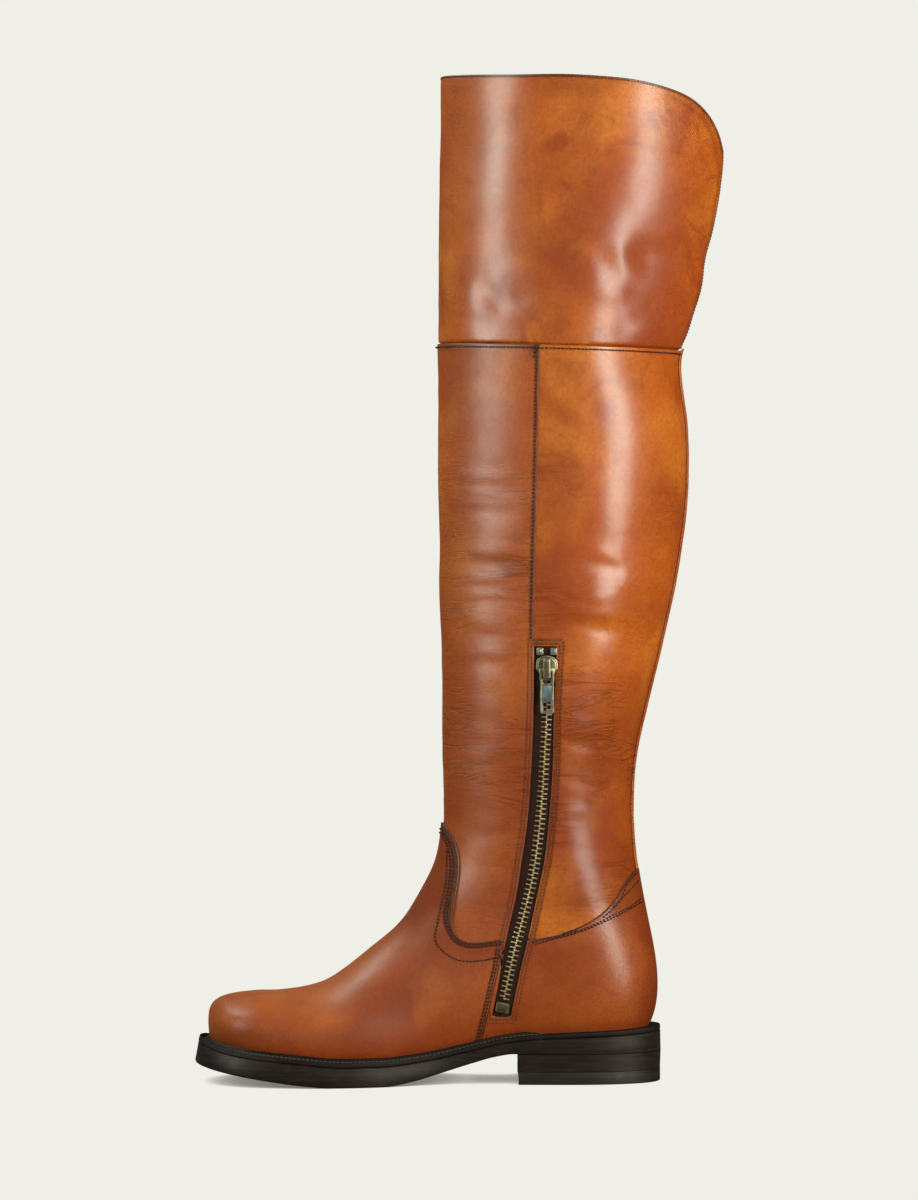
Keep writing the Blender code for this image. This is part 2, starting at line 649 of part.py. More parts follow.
def counter_outline():
    back_of_seam = smooth_line(SIDE_SEAM, 2)[::-1] + np.array([GAP + 0.1, 0.0])
    edge = smooth_line(COUNTER_EDGE, 2)[1:]
    return np.concatenate([back_of_seam, edge, [(200.0, 128.6), (200.0, 5.0)]])


def make_back_strip(material):
    """The narrow strip over the shaft's back seam, ending above the counter."""
    rows = np.concatenate([shaft_rows()[:-1], foot_rows()])
    rows = np.concatenate([[rows[0] + 1.0], rows[1:][rows[1:] <= strip_end()]])
    half = STRIP_WIDTH / 2 / COLUMN["half_back"](rows)[:, None]
    angles = math.pi + half * np.linspace(-1, 1, 4)[None, :]
    shape = np.ones(angles.shape)
    outer = at_depth(rows[:, None], angles, (GAP + STRIP_THICK) * shape)
    inner = at_depth(rows[:, None], angles, GAP * shape)
    return patch("back_strip", outer, inner, material)


# Zip

def window_width(z):
    return WINDOW_WIDTH_FOOT + (WINDOW_WIDTH_TOP - WINDOW_WIDTH_FOOT) * smooth_step(z, 120.0, WINDOW_TOP_Z)


def zip_path(top_z, low_z, count):
    """Points (x, z) down the zip's middle between two heights, and the direction across it."""
    line = smooth_line(ZIP_PATH, 12)
    z = np.linspace(top_z, low_z, count)
    x = np.interp(z, line[::-1, 1], line[::-1, 0])
    step = 2.0
    rising = line[::-1]
    slope = np.interp(z + step, rising[:, 1], rising[:, 0]) - np.interp(z - step, rising[:, 1], rising[:, 0])
    across = np.stack([np.full(count, 2 * step), -slope], axis=-1)
    across /= np.linalg.norm(across, axis=1, keepdims=True)
    return np.stack([x, z], axis=-1), across


def zip_lift(z):
    """The zip comes forward where the foot's overlays make the leather thicker."""
    return OVERLAY_OUT * (1 - smooth_step(z, 78.0, 104.0))


WINDOW_LOW_Z = 40.0


WINDOW_ROWS = 14


def window_outline(spare):
    """The window in the leather, with spare added to its width on each side."""
    line, across = zip_path(WINDOW_TOP_Z + spare, WINDOW_LOW_Z - spare, WINDOW_ROWS)
    half = (window_width(line[:, 1]) / 2 + spare)[:, None]
    return np.concatenate([line - across * half, (line + across * half)[::-1]])


def ribbon(name, top_z, low_z, half_width, low_depth, high_depth, material, count=17):
    """A strip of the zip that follows its path and the leather's curve, between two depths."""
    line, across = zip_path(top_z, low_z, count)
    outer, inner = [], []
    for (x, z), (ax, az) in zip(line, across):
        half = half_width(z)
        lift = float(zip_lift(z))
        places = [(x + ax * half * k, z + az * half * k) for k in (-1.0, -0.33, 0.33, 1.0)]
        outer.append([inner_point(px, pz, high_depth + lift)[0] for px, pz in places])
        inner.append([inner_point(px, pz, low_depth + lift)[0] for px, pz in places])
    return patch(name, np.array(outer), np.array(inner), material)


def block(name, size, frame, material, bevel=0.4):
    """A box with rounded edges, in a frame whose axes are across, along and outwards."""
    bm = bmesh.new()
    bmesh.ops.create_cube(bm, size=1.0)
    bmesh.ops.scale(bm, vec=Vector(size) * MM, verts=bm.verts)
    bmesh.ops.bevel(bm, geom=bm.edges[:], offset=bevel * MM, segments=1, profile=0.5, affect="EDGES")
    mesh = bpy.data.meshes.new(name)
    bm.to_mesh(mesh)
    bm.free()
    mesh.materials.append(material)
    node = bpy.data.objects.new(name, mesh)
    node.matrix_world = frame
    bpy.context.scene.collection.objects.link(node)
    return node


def zip_frame(z, depth):
    """Axes at the zip's middle at height z: X across towards the heel, Y up the zip, Z out of the boot."""
    line, across = zip_path(z + 2, z - 2, 3)
    x, z = line[1]
    place, normal = inner_point(x, z, depth + float(zip_lift(z)))
    side = Vector((across[1][0], 0.0, across[1][1]))
    side = (side - normal * side.dot(normal)).normalized()
    upward = normal.cross(side)
    turn = Matrix((side, upward, normal)).transposed().to_4x4()
    return Matrix.Translation(place * MM) @ turn


def extruded(name, outline, holes, low, high, frame, material):
    """A plate from low to high with this outline in a frame's X and Y, and holes cut through it."""
    count = len(outline)
    points = [(x, y, low) for x, y in outline] + [(x, y, high) for x, y in outline]
    faces = [tuple(range(count)), tuple(range(2 * count - 1, count - 1, -1))] + ring_band(0, count, count)
    node = mesh_object(name, points, faces, material, smooth=False)
    node.matrix_world = frame
    for k, hole in enumerate(holes):
        boolean(node, extruded_cutter(f"{name}_hole_{k}", hole, low - 1, high + 1, frame))
    return node


def extruded_cutter(name, outline, low, high, frame):
    return hide(extruded(name, outline, [], low, high, frame, None))


def rounded_rectangle(low_x, low_y, high_x, high_y, radius, steps=3):
    corners = ((high_x, high_y, 0), (low_x, high_y, 90), (low_x, low_y, 180), (high_x, low_y, 270))
    points = []
    for x, y, start in corners:
        centre_x = x - math.copysign(radius, x - (low_x + high_x) / 2)
        centre_y = y - math.copysign(radius, y - (low_y + high_y) / 2)
        for k in range(steps + 1):
            turn = math.radians(start + 90 * k / steps)
            points.append((centre_x + radius * math.cos(turn), centre_y + radius * math.sin(turn)))
    return points


# The slider in its own frame, whose origin is the pull's axis: plan sizes along Y, heights along Z
BODY_TOP = 8.2
BODY_SHOULDER = 0.6
BODY_LOW = -7.0
BODY_LOW_HALF = 4.4
BODY_FLOOR = -3.6
BODY_FACE = -1.3
BAIL_HALF = 2.0
BAIL_TOP = 7.2
BAIL_LOW = -6.0
BAIL_RISE = 2.5
BAIL_THICK = 1.0
PULL_LENGTH = 27.0
PULL_THICK = 1.3
PULL_BAR = 0.65
PULL_HALF_TOP = 4.6
PULL_HALF_LOW = 4.1
LOOP_HALF = 2.75
LOOP_LENGTH = 8.3


def make_slider(frame, material):
    """The slider's body with the bail that holds the pull."""
    half = SLIDER_WIDTH / 2
    crown_low = BODY_SHOULDER + 2.6
    shoulder = [
        (half * math.cos(t), crown_low + (BODY_TOP - crown_low) * math.sin(t))
        for t in np.linspace(0, math.pi, 9)
    ]
    low = [(-half, BODY_SHOULDER), (-BODY_LOW_HALF, BODY_SHOULDER - 3), (-BODY_LOW_HALF, BODY_LOW)]
    outline = shoulder + low + [(-x, y) for x, y in reversed(low)]
    body = extruded("zip_slider", outline, [], BODY_FLOOR, BODY_FACE, frame, material)
    profile = [
        (BAIL_LOW, BODY_FACE - 0.6), (BAIL_LOW, BAIL_RISE - 1.6), (BAIL_LOW + 1.6, BAIL_RISE),
        (BAIL_TOP - 1.6, BAIL_RISE), (BAIL_TOP, BAIL_RISE - 1.6), (BAIL_TOP, BODY_FACE - 0.6),
        (BAIL_TOP - BAIL_THICK, BODY_FACE - 0.6), (BAIL_TOP - BAIL_THICK, BAIL_RISE - BAIL_THICK - 1.1),
        (BAIL_TOP - BAIL_THICK - 1.1, BAIL_RISE - BAIL_THICK),
        (BAIL_LOW + BAIL_THICK + 1.1, BAIL_RISE - BAIL_THICK),
        (BAIL_LOW + BAIL_THICK, BAIL_RISE - BAIL_THICK - 1.1), (BAIL_LOW + BAIL_THICK, BODY_FACE - 0.6),
    ]
    count = len(profile)
    points = [(-BAIL_HALF, y, z) for y, z in profile] + [(BAIL_HALF, y, z) for y, z in profile]
    faces = [tuple(range(count)), tuple(range(2 * count - 1, count - 1, -1))] + ring_band(0, count, count)
    bail = hide(mesh_object("bail_shape", points, faces, None, smooth=False))
    bail.matrix_world = frame
    boolean(body, bail, "UNION")
    return body


def make_pull(frame, material):
    """The pull tab. Its top bar runs through the bail, and its origin is on the bar's axis."""
    half_top, half_low = PULL_HALF_TOP, PULL_HALF_LOW
    low = -PULL_LENGTH + PULL_BAR
    outline = [
        (half_top, PULL_BAR), (-half_top, PULL_BAR), (-half_top, -9.5), (-half_low, -13.0),
        (-half_low, low + 0.8), (-half_low + 0.8, low), (half_low - 0.8, low), (half_low, low + 0.8),
        (half_low, -13.0), (half_top, -9.5),
    ]
    loop = rounded_rectangle(-LOOP_HALF, -LOOP_LENGTH, LOOP_HALF, -PULL_BAR, 0.6, 1)
    window = rounded_rectangle(-2.3, low + 1.8, 2.3, low + 6.9, 0.5, 1)
    return extruded("zip_pull", outline, [loop, window], -PULL_THICK / 2, PULL_THICK / 2, frame, material)


def make_zip(tape, brass, steel):
    spare = GAP
    ribbon(
        "zip_tape", WINDOW_TOP_Z - spare, WINDOW_LOW_Z + spare, lambda z: float(window_width(z)) / 2 - spare,
        TAPE_DEPTH - TAPE_THICK, TAPE_DEPTH, tape,
    )
    chain_low = TAPE_DEPTH + GAP
    ribbon(
        "zip_chain", SLIDER_Z + BODY_LOW - GAP, 50.2, lambda z: CHAIN_WIDTH / 2,
        chain_low, chain_low + CHAIN_THICK, brass("antique brass teeth"),
    )
    stop_thick = 1.8
    for name, side in (("zip_top_stop_front", -4.2), ("zip_top_stop_back", 4.2)):
        frame = zip_frame(SLIDER_Z + BODY_TOP + 2.6, chain_low + stop_thick / 2)
        shift = Matrix.Translation(Vector((side, 0.0, 0.0)) * MM)
        block(name, (3.9, 4.2, stop_thick), frame @ shift, steel(name + " steel"))
    frame = zip_frame(46.8, chain_low + CHAIN_THICK / 2)
    block("zip_bottom_stop", (7.9, 6.0, CHAIN_THICK), frame, steel("zip_bottom_stop steel"))
    axis = zip_frame(SLIDER_Z, chain_low - BODY_FLOOR + 0.2)
    make_slider(axis, brass("antique brass slider"))
    make_pull(axis, brass("antique brass pull"))


# Sole pieces

OUTLINE_COUNT = 52


def above_welt(extra):
    return lambda x: welt_top(x) + extra


def rand_height(x):
    """The rand runs round the forefoot and ends at the front of the heel."""
    return RAND_LOW + RAND_HIGH * (1 - smooth_step(x, *RAND_FADE))


def make_sole(leather_line, outsole_finish, welt_finish, heel_finish, lift_finish):
    x = leather_line[:, 0]
    edge = spread(leather_line, margin(x))
    edge_x = edge[:, 0]
    top = welt_top(edge_x)

    rand_line = outline_at(OVERLAY_OUT, lambda at: welt_top(at) + rand_height(at), OUTLINE_COUNT)
    inner_low = spread(leather_line, GAP)
    widest = np.maximum(np.linalg.norm(rand_line - leather_line, axis=1), 0.0)
    inner_high = spread(leather_line, GAP + np.minimum(widest, 2.2))
    rand_top = spread(leather_line, GAP + np.minimum(widest, 2.2) + RAND_THICK)
    rand_foot = spread(leather_line, GAP + RAND_THICK + 0.9)
    make_ring = [
        ring(inner_low, welt_top(x) - WELT_THICK),
        ring(inner_low, welt_top(x)),
        ring(inner_high, welt_top(x) + rand_height(x)),
        ring(rand_top, welt_top(x) + rand_height(x) - 0.1),
        ring(rand_foot, welt_top(rand_foot[:, 0])),
        ring(spread(edge, -EDGE_BEVEL), top),
        ring(edge, top - EDGE_BEVEL),
        ring(spread(edge, 0.2 * flare(edge_x)), welt_top(edge_x) - WELT_THICK),
    ]
    ring_solid("welt", make_ring, welt_finish, caps=False)

    seam = welt_top(edge_x) - WELT_THICK - GAP
    bottom = spread(edge, flare(edge_x))
    rings = [
        ring(spread(edge, 0.2 * flare(edge_x)), seam),
        ring(spread(edge, 0.6 * flare(edge_x)), (seam + sole_bottom(edge_x)) / 2),
        ring(bottom, sole_bottom(bottom[:, 0]) + 1.0),
        ring(spread(edge, flare(edge_x) - 1.0), sole_bottom(edge_x)),
    ]
    ring_solid("outsole", rings, outsole_finish)

    heel_line = heel_outline(spread(edge, flare(edge_x)))
    heel_top = sole_bottom(BREAST_X) - GAP
    heel_low = LIFT_THICK + GAP
    ring_solid("heel", [ring(heel_line, heel_top), ring(spread(heel_line, -0.25), heel_low)], heel_finish)
    lift_rings = [
        ring(spread(heel_line, -EDGE_BEVEL), LIFT_THICK),
        ring(heel_line, LIFT_THICK - EDGE_BEVEL),
        ring(heel_line, EDGE_BEVEL),
        ring(spread(heel_line, -EDGE_BEVEL), 0.0),
    ]
    ring_solid("top_lift", lift_rings, lift_finish)


def heel_outline(edge):
    """The sole's edge behind the breast, closed by the slightly hollow breast, in pairs from the back."""
    half = OUTLINE_COUNT // 2
    sides = []
    for part in (edge[:half + 1], np.roll(edge, -half, axis=0)[:half + 1][::-1]):
        behind = part[part[:, 0] > BREAST_X + 1.5]
        end_y = np.interp(BREAST_X, part[::-1, 0], part[::-1, 1])
        sides.append((behind, end_y))
    (inner, inner_end), (outer, outer_end) = sides
    count = min(len(inner), len(outer))
    inner, outer = inner[:count], outer[:count]
    share = np.linspace(0, 1, 7)
    y = inner_end + (outer_end - inner_end) * share
    x = BREAST_X + BREAST_HOLLOW * 4 * share * (1 - share)
    breast = np.column_stack([x, y])
    return np.concatenate([inner, breast, outer[:0:-1]])


def make_insole(material):
    low = -WELT_THICK
    line = outline_at(-WALL - INSOLE_CLEAR, above_welt(low), OUTLINE_COUNT // 2)
    x = line[:, 0]
    z = welt_top(x) + low + INSOLE_LIFT
    rings = [
        ring(spread(line, -0.2), z),
        ring(line, z + INSOLE_THICK - 0.6),
        ring(spread(line, -0.8), z + INSOLE_THICK),
    ]
    ring_solid("insole", rings, material)


def below_welt_cutter():
    """What lies under the leather's lower edge, inside the welt."""
    x = np.linspace(-175.0, 135.0, 26)
    outline = np.column_stack([x, welt_top(x) - WELT_THICK])
    below = [(135.0, -40.0), (-175.0, -40.0)]
    return prism("below_welt", np.concatenate([outline, below]), -ASIDE_Y, ASIDE_Y)


def main():
    for node in list(bpy.data.objects):
        bpy.data.objects.remove(node, do_unlink=True)
    below = below_welt_cutter()
    window = prism("zip_window", window_outline(0.0), -90.0, 0.0)
    make_upper(finish("cognac leather", COGNAC, 0.35), [below, window])
    make_cuff(finish("cognac cuff leather", COGNAC, 0.35))
    cutters = [below, window]
    make_overlay("vamp", vamp_outline(), finish("burnished vamp", COGNAC_DARK, 0.32), cutters)
    make_overlay("counter", counter_outline(), finish("burnished counter", COGNAC_DARK, 0.32), cutters)
    make_back_strip(finish("cognac strip leather", COGNAC_DARK, 0.35))
    make_zip(
        finish("zip tape", TAPE_BROWN, 0.8),
        lambda name: finish(name, BRASS, 0.38, 1.0),
        lambda name: finish(name, STEEL, 0.4, 1.0),
    )
    leather_line = outline_at(OVERLAY_OUT, welt_top, OUTLINE_COUNT)
    make_sole(
        leather_line,
        finish("outsole", SOLE_BLACK, 0.45),
        finish("welt", SOLE_BLACK, 0.4),
        finish("heel stack", SOLE_BLACK, 0.42),
        finish("heel rubber", SOLE_BLACK, 0.6),
    )
    make_insole(finish("insole leather", TAN, 0.7))


main()
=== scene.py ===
# %% [markdown]
# # Over-the-knee boot, right foot
# The boot was first made as plain solids, and those solids are the frame that every piece here is fitted to. Each
# cell makes one piece or one finish, in the order in which a maker would think of them, from the leather's shape to
# the last row of stitches. Lengths are millimetres. The toe points towards -X, the inner side of the leg towards -Y,
# and up is +Z.

# %% Load the frame
import math
from functools import reduce

import bmesh
import bpy
import numpy as np
from mathutils import Matrix, Vector
from mathutils.bvhtree import BVHTree


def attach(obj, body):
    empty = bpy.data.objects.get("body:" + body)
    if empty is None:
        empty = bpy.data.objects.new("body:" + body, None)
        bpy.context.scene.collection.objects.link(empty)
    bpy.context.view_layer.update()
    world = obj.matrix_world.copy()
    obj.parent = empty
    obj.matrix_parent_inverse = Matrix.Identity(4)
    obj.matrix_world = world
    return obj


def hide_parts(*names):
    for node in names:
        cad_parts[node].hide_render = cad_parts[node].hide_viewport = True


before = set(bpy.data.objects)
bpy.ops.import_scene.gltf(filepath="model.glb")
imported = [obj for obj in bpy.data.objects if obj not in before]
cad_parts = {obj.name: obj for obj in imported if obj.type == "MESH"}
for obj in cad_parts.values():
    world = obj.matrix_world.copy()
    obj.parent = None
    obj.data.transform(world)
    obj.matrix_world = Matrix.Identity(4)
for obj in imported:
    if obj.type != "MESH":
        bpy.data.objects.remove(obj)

MM = 0.001
PI = math.pi
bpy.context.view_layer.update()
scene = bpy.context.scene
print("solids in the frame:", ", ".join(sorted(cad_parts)))

# %% [markdown]
# ## Camera
# A boot is usually pictured from its inner side with a long lens, so that the sole and the cuff are seen almost
# square on. The camera stays level, because tilting it would make the shaft lean. The picture is shifted down
# instead, as a view camera does.

# %% Camera
camera_data = bpy.data.cameras.new("studio_camera")
camera_data.lens, camera_data.sensor_width = 158.4, 36.0
camera_data.shift_y, camera_data.clip_end = -0.0684, 200.0
camera = bpy.data.objects.new("studio_camera", camera_data)
camera.location = (0.0, -3.2, 0.34)
camera.rotation_euler = (math.radians(90), 0.0, 0.0)
scene.collection.objects.link(camera)
scene.camera = camera
scene.view_settings.view_transform = "Standard"
print("camera lens", camera_data.lens, "mm at", tuple(camera.location))

# %% [markdown]
# ## Room
# The boot stands on a pale floor that runs into a pale wall without an edge. A floor that only glows, and is dimmed
# where something stands close over it, has no horizon and still gets a soft shadow under the sole. Waxed leather
# shows its form by what it mirrors, so tall, soft boxes to the left and right of the camera make the two long bands
# on the shaft. Other lights fill, and leave no mirror image.

# %% Room and lights
def linear(red, green, blue):
    """A colour as it looks on a screen, from 0 to 255, turned into the shader's own values."""
    parts = [part / 255 for part in (red, green, blue)]
    return (*(part / 12.92 if part <= 0.04045 else ((part + 0.055) / 1.055) ** 2.4 for part in parts), 1.0)


def add(tree, kind, inputs=(), out=0, **settings):
    """Adds a node and returns one of its outputs. inputs are values or sockets, by a socket's name or place."""
    node = tree.nodes.new(kind)
    for name, value in settings.items():
        setattr(node, name, value)
    for name, value in inputs.items() if isinstance(inputs, dict) else enumerate(inputs):
        if isinstance(value, bpy.types.NodeSocket):
            tree.links.new(value, node.inputs[name])
        elif value is not None:
            node.inputs[name].default_value = value
    return node.outputs[out] if node.outputs else node


def mix(tree, factor, a, b):
    return add(tree, "ShaderNodeMix", {0: factor, 6: a, 7: b}, 2, data_type="RGBA")


PAPER = linear(239, 239, 231)
scene.world = bpy.data.worlds.new("studio")
scene.world.use_nodes = True
tree = scene.world.node_tree
room = mix(tree, add(tree, "ShaderNodeLightPath", out="Is Camera Ray"), (0.075, 0.075, 0.074, 1.0), PAPER)
tree.links.new(room, tree.nodes["Background"].inputs["Color"])

FLOOR = 40.0  # half its width, in metres
mesh = bpy.data.meshes.new("studio_floor")
mesh.from_pydata([(-FLOOR, -FLOOR, 0), (FLOOR, -FLOOR, 0), (FLOOR, FLOOR, 0), (-FLOOR, FLOOR, 0)], [], [(0, 1, 2, 3)])
floor = bpy.data.objects.new("studio_floor", mesh)
scene.collection.objects.link(floor)
mesh.materials.append(bpy.data.materials.new("pale floor"))
mesh.materials[0].use_nodes = True
tree = mesh.materials[0].node_tree
tree.nodes.remove(tree.nodes["Principled BSDF"])
free = add(tree, "ShaderNodeAmbientOcclusion", {"Distance": 0.034}, "AO", samples=16)
free = add(tree, "ShaderNodeMapRange", {"Value": free, "From Min": 0.02, "From Max": 0.36})
seen = add(tree, "ShaderNodeLightPath", out="Is Camera Ray")
strength = add(tree, "ShaderNodeMapRange", {"Value": seen, "To Min": 0.16, "To Max": 1.0})
glow = add(tree, "ShaderNodeEmission", (mix(tree, free, linear(112, 110, 104), PAPER), strength))
tree.links.new(glow, tree.nodes["Material Output"].inputs["Surface"])

# Soft boxes: name, place and aim in metres, width, height and power in watts. A mirrored one only shows in polished
# surfaces, and one that fills doesn't show in them.
FILL_TINT, MIRROR_TINT = (0.98, 0.975, 0.76), (0.76, 1.0, 0.95)
SOFTBOXES = (
    ("softbox_left", (-1.33, -0.80, 0.73), (0.03, 0.0, 0.40), 0.42, 1.06, 33.0, "mirrored"),
    ("fill_left", (-1.6, -1.3, 0.5), (0.0, 0.0, 0.25), 0.8, 0.9, 13.0, "fill"),
    ("softbox_right", (1.17, -1.03, 0.60), (0.09, 0.0, 0.34), 0.42, 1.20, 47.0, "mirrored"),
    ("fill_right", (1.17, -1.03, 0.60), (0.09, 0.0, 0.34), 0.4, 1.20, 28.0, "fill"),
    ("softbox_above", (-0.85, 0.22, 1.40), (-0.14, 0.0, 0.05), 0.5, 0.4, 20.0, "both"),
    ("softbox_behind", (-0.55, 1.3, 0.6), (-0.02, 0.0, 0.35), 0.9, 1.5, 9.0, "fill"),
    ("fill_front", (0.1, -2.6, 1.1), (0.0, 0.0, 0.3), 2.6, 2.2, 32.0, "fill"),
    ("fill_back", (0.3, 2.4, 1.4), (0.0, 0.0, 0.3), 2.4, 2.0, 26.0, "fill"),
    ("fill_low", (0.0, -1.2, 0.05), (0.0, 0.0, 0.1), 1.6, 0.3, 2.0, "fill"),
)
for name, place, aim, width, height, power, kind in SOFTBOXES:
    light = bpy.data.lights.new(name, "AREA")
    light.shape, light.size, light.size_y, light.energy = "RECTANGLE", width, height, power
    light.color = FILL_TINT if kind == "fill" else MIRROR_TINT
    lamp = bpy.data.objects.new(name, light)
    lamp.location = place
    lamp.visible_glossy, lamp.visible_diffuse = kind != "fill", kind != "mirrored"
    lamp.rotation_euler = (Vector(place) - Vector(aim)).to_track_quat("Z", "Y").to_euler()
    scene.collection.objects.link(lamp)
print("lights:", len(SOFTBOXES))

# %% [markdown]
# ## Smooth lines
# A pattern maker draws a boot with a few points and a flexible ruler. The helpers below are such rulers: one bends
# evenly through its points, one never overshoots, and one turns a short list of points into a smooth line.

# %% Smooth lines
def natural_spline(knots, values):
    """A curve with even bending through the values, which runs on straight past its ends."""
    knots, values = np.asarray(knots, float), np.asarray(values, float)
    steps = np.diff(knots)
    slopes = np.diff(values) / steps
    matrix, right = np.eye(len(knots)), np.zeros(len(knots))
    for i in range(1, len(knots) - 1):
        matrix[i, i - 1:i + 2] = (steps[i - 1], 2 * (steps[i - 1] + steps[i]), steps[i])
        right[i] = 6 * (slopes[i] - slopes[i - 1])
    bend = np.linalg.solve(matrix, right)
    first, last = slopes[0] - steps[0] * bend[1] / 6, slopes[-1] + steps[-1] * bend[-2] / 6

    def curve(at):
        at = np.asarray(at, float)
        i = np.clip(np.searchsorted(knots, at) - 1, 0, len(knots) - 2)
        a = (knots[i + 1] - np.clip(at, knots[0], knots[-1])) / steps[i]
        b = 1 - a
        bent = ((a**3 - a) * bend[i] + (b**3 - b) * bend[i + 1]) * steps[i] ** 2 / 6
        ends = np.minimum(at - knots[0], 0) * first + np.maximum(at - knots[-1], 0) * last
        return a * values[i] + b * values[i + 1] + bent + ends

    return curve


def level_curve(*rows):
    """A curve through (place, height) rows that never overshoots them, so a flat stretch stays flat."""
    knots, values = np.array(rows, float).T
    steps = np.diff(knots)
    slopes = np.diff(values) / steps
    tangents = np.zeros(len(knots))
    tangents[0], tangents[-1] = slopes[0], slopes[-1]
    for i in range(1, len(knots) - 1):
        if slopes[i - 1] * slopes[i] > 0:
            tangents[i] = 2 / (1 / slopes[i - 1] + 1 / slopes[i])

    def curve(at):
        at = np.clip(np.asarray(at, float), knots[0], knots[-1])
        i = np.clip(np.searchsorted(knots, at) - 1, 0, len(knots) - 2)
        b = (at - knots[i]) / steps[i]
        a = 1 - b
        straight = a**2 * (1 + 2 * b) * values[i] + b**2 * (1 + 2 * a) * values[i + 1]
        return straight + a * b * steps[i] * (a * tangents[i] - b * tangents[i + 1])

    return curve


def run_of(points):
    """How far along the line each of its points is."""
    return np.concatenate([[0], np.cumsum(np.linalg.norm(np.diff(points, axis=0), axis=1))])


def read_off(at, run, values):
    """Rows of values read off at places along a line."""
    return np.stack([np.interp(at, run, column) for column in np.asarray(values).T], axis=-1)


def smooth_line(*points):
    """The points of a smooth line through these points, with five new ones between each two."""
    points = np.asarray(points, float)
    knots = run_of(points)
    steps = [np.linspace(a, b, 6, endpoint=False) for a, b in zip(knots[:-1], knots[1:])]
    at = np.concatenate(steps + [knots[-1:]])
    return np.stack([natural_spline(knots, column)(at) for column in points.T], axis=-1)


def smooth_step(at, low, high):
    t = np.clip((np.asarray(at, float) - low) / (high - low), 0, 1)
    return t * t * (3 - 2 * t)


def bell(at, middle, width):
    """A smooth hill of height 1."""
    return np.exp(-(((at - middle) / width) ** 2))


def least(*values):
    return reduce(np.minimum, values)


print("a smooth line through 3 points has", len(smooth_line((0, 0), (5, 2), (9, 0))), "points")

# %% [markdown]
# ## Form of the boot
# Everything made of leather follows one form, the shape a last and a leg would give it. Drawn as a stack of flat
# slices it would fail where the leg turns into the foot, so the slices open like a fan: level across the shaft,
# tilting round the heel and upright across the foot. A place on the boot is then a pair of numbers, how far along
# the fan it is and at what angle round the slice, and each piece is a range of those numbers at its own depth.

# %% Form of the boot
SECTION_COLUMNS = (
    "name", "front_x", "front_z", "back_x", "back_z",
    "half_front", "half_mid", "half_back", "side_front", "side_back", "square_front", "square_back",
)
OVAL = (0, 0, 2, 2)
SECTIONS = (
    ("rim", -11.5, 609, 162.6, 609, 52, 57, 52, *OVAL),
    ("cuff corner", -12.2, 562, 161.9, 562, 50.5, 55.5, 51, *OVAL),
    ("cuff middle", -12.7, 512, 154.9, 512, 49, 53.5, 49.5, *OVAL),
    ("cuff low", -13, 470, 144.2, 468, 47.5, 51.8, 48, *OVAL),
    ("shaft seam", -12.9, 445.3, 134.2, 441.2, 46.5, 50.5, 47, *OVAL),
    ("calf high", -12.6, 411, 135.7, 409, 46, 49.8, 46.5, *OVAL),
    ("calf", -12.6, 369, 137.6, 369, 46, 49.6, 46, *OVAL),
    ("calf low", -12, 326.6, 134.5, 326.6, 45, 48.6, 44.6, *OVAL),
    ("taper", -11.6, 290, 127.7, 290, 43.4, 46.6, 42.6, *OVAL),
    ("shin", -10.7, 254, 119.7, 254, 41.6, 44.4, 40.4, *OVAL),
    ("shin low", -10.1, 217.5, 111, 217.5, 39.6, 42, 38, *OVAL),
    ("ankle high", -9.5, 187, 105.3, 185, 37.6, 39.6, 35.8, *OVAL),
    ("ankle", -8.8, 164, 104.9, 155, 36.2, 38, 34.2, -0.3, 0, 2, 2),
    ("heel high", -9.7, 148, 108.1, 124, 35.4, 37, 33.8, -0.8, 0, 2, 2.1),
    ("heel bulge", -11.8, 136, 114.2, 92, 35.4, 36.2, 34.6, -1.2, 0, 2, 2.2),
    ("heel round", -14.6, 127.5, 118.6, 62, 35.6, 35.4, 35.4, -1.7, 0, 2, 2.3),
    ("heel seat", -18.4, 119.5, 114.6, 36, 35.6, 34.6, 35.6, -2.2, 0, 2, 2.4),
    ("heel under", -24, 109, 97, 19, 35.2, 33.6, 34.8, -2.8, 0.2, 2.1, 2.6),
    ("shank", -30.6, 98, 68, 15, 34.8, 33.6, 33.2, -3.3, 1, 2.1, 2.9),
    ("waist", -39.2, 88.2, 36, 11, 34.7, 34.6, 32.2, -3.8, 2.4, 2.1, 3.1),
    ("instep", -49.4, 79.4, 4, 6, 35.4, 37.2, 33.6, -4.3, 3.4, 2.1, 3.2),
    ("joint back", -60.4, 70, -30, 1, 36.9, 42.2, 39.8, -4.7, 2.2, 2.1, 3.2),
    ("ball", -70.4, 62.3, -60, -2, 38.6, 46, 43.8, -5, 0.4, 2.1, 3.2),
    ("toes", -81, 56.4, -80, -1, 40.2, 46.8, 44.4, -5.2, -0.8, 2.15, 3.2),
    ("toe cap", -95, 53, -95, 2, 41.2, 46.4, 43.6, -5.6, -2, 2.2, 3.2),
    ("toe base", -109.2, 51.8, -109.2, 5, 41, 44.8, 42, -6, -3.2, 2.25, 3.2),
)
TOE_LENGTH = 40.0  # from the last slice to the toe's tip
TOE_POLE_Z, TOE_POLE_SIDE = 33.0, -7.0
TOE_ROUND_PLAN, TOE_ROUND_SIDE = 2.35, 5.0
table = np.array([row[1:] for row in SECTIONS], float)
travel = np.diff(table[:, :4], axis=0)
lengths = (np.hypot(travel[:, 0], travel[:, 1]) + np.hypot(travel[:, 2], travel[:, 3])) / 2
ALONG = np.concatenate([[0], np.cumsum(lengths)])
COLUMN = {name: natural_spline(ALONG, table[:, k]) for k, name in enumerate(SECTION_COLUMNS[1:])}
PLACE = {row[0]: place for row, place in zip(SECTIONS, ALONG)}
SEAM_AT, TOE_BASE = PLACE["shaft seam"], ALONG[-1]
TOE_END = TOE_BASE + TOE_LENGTH


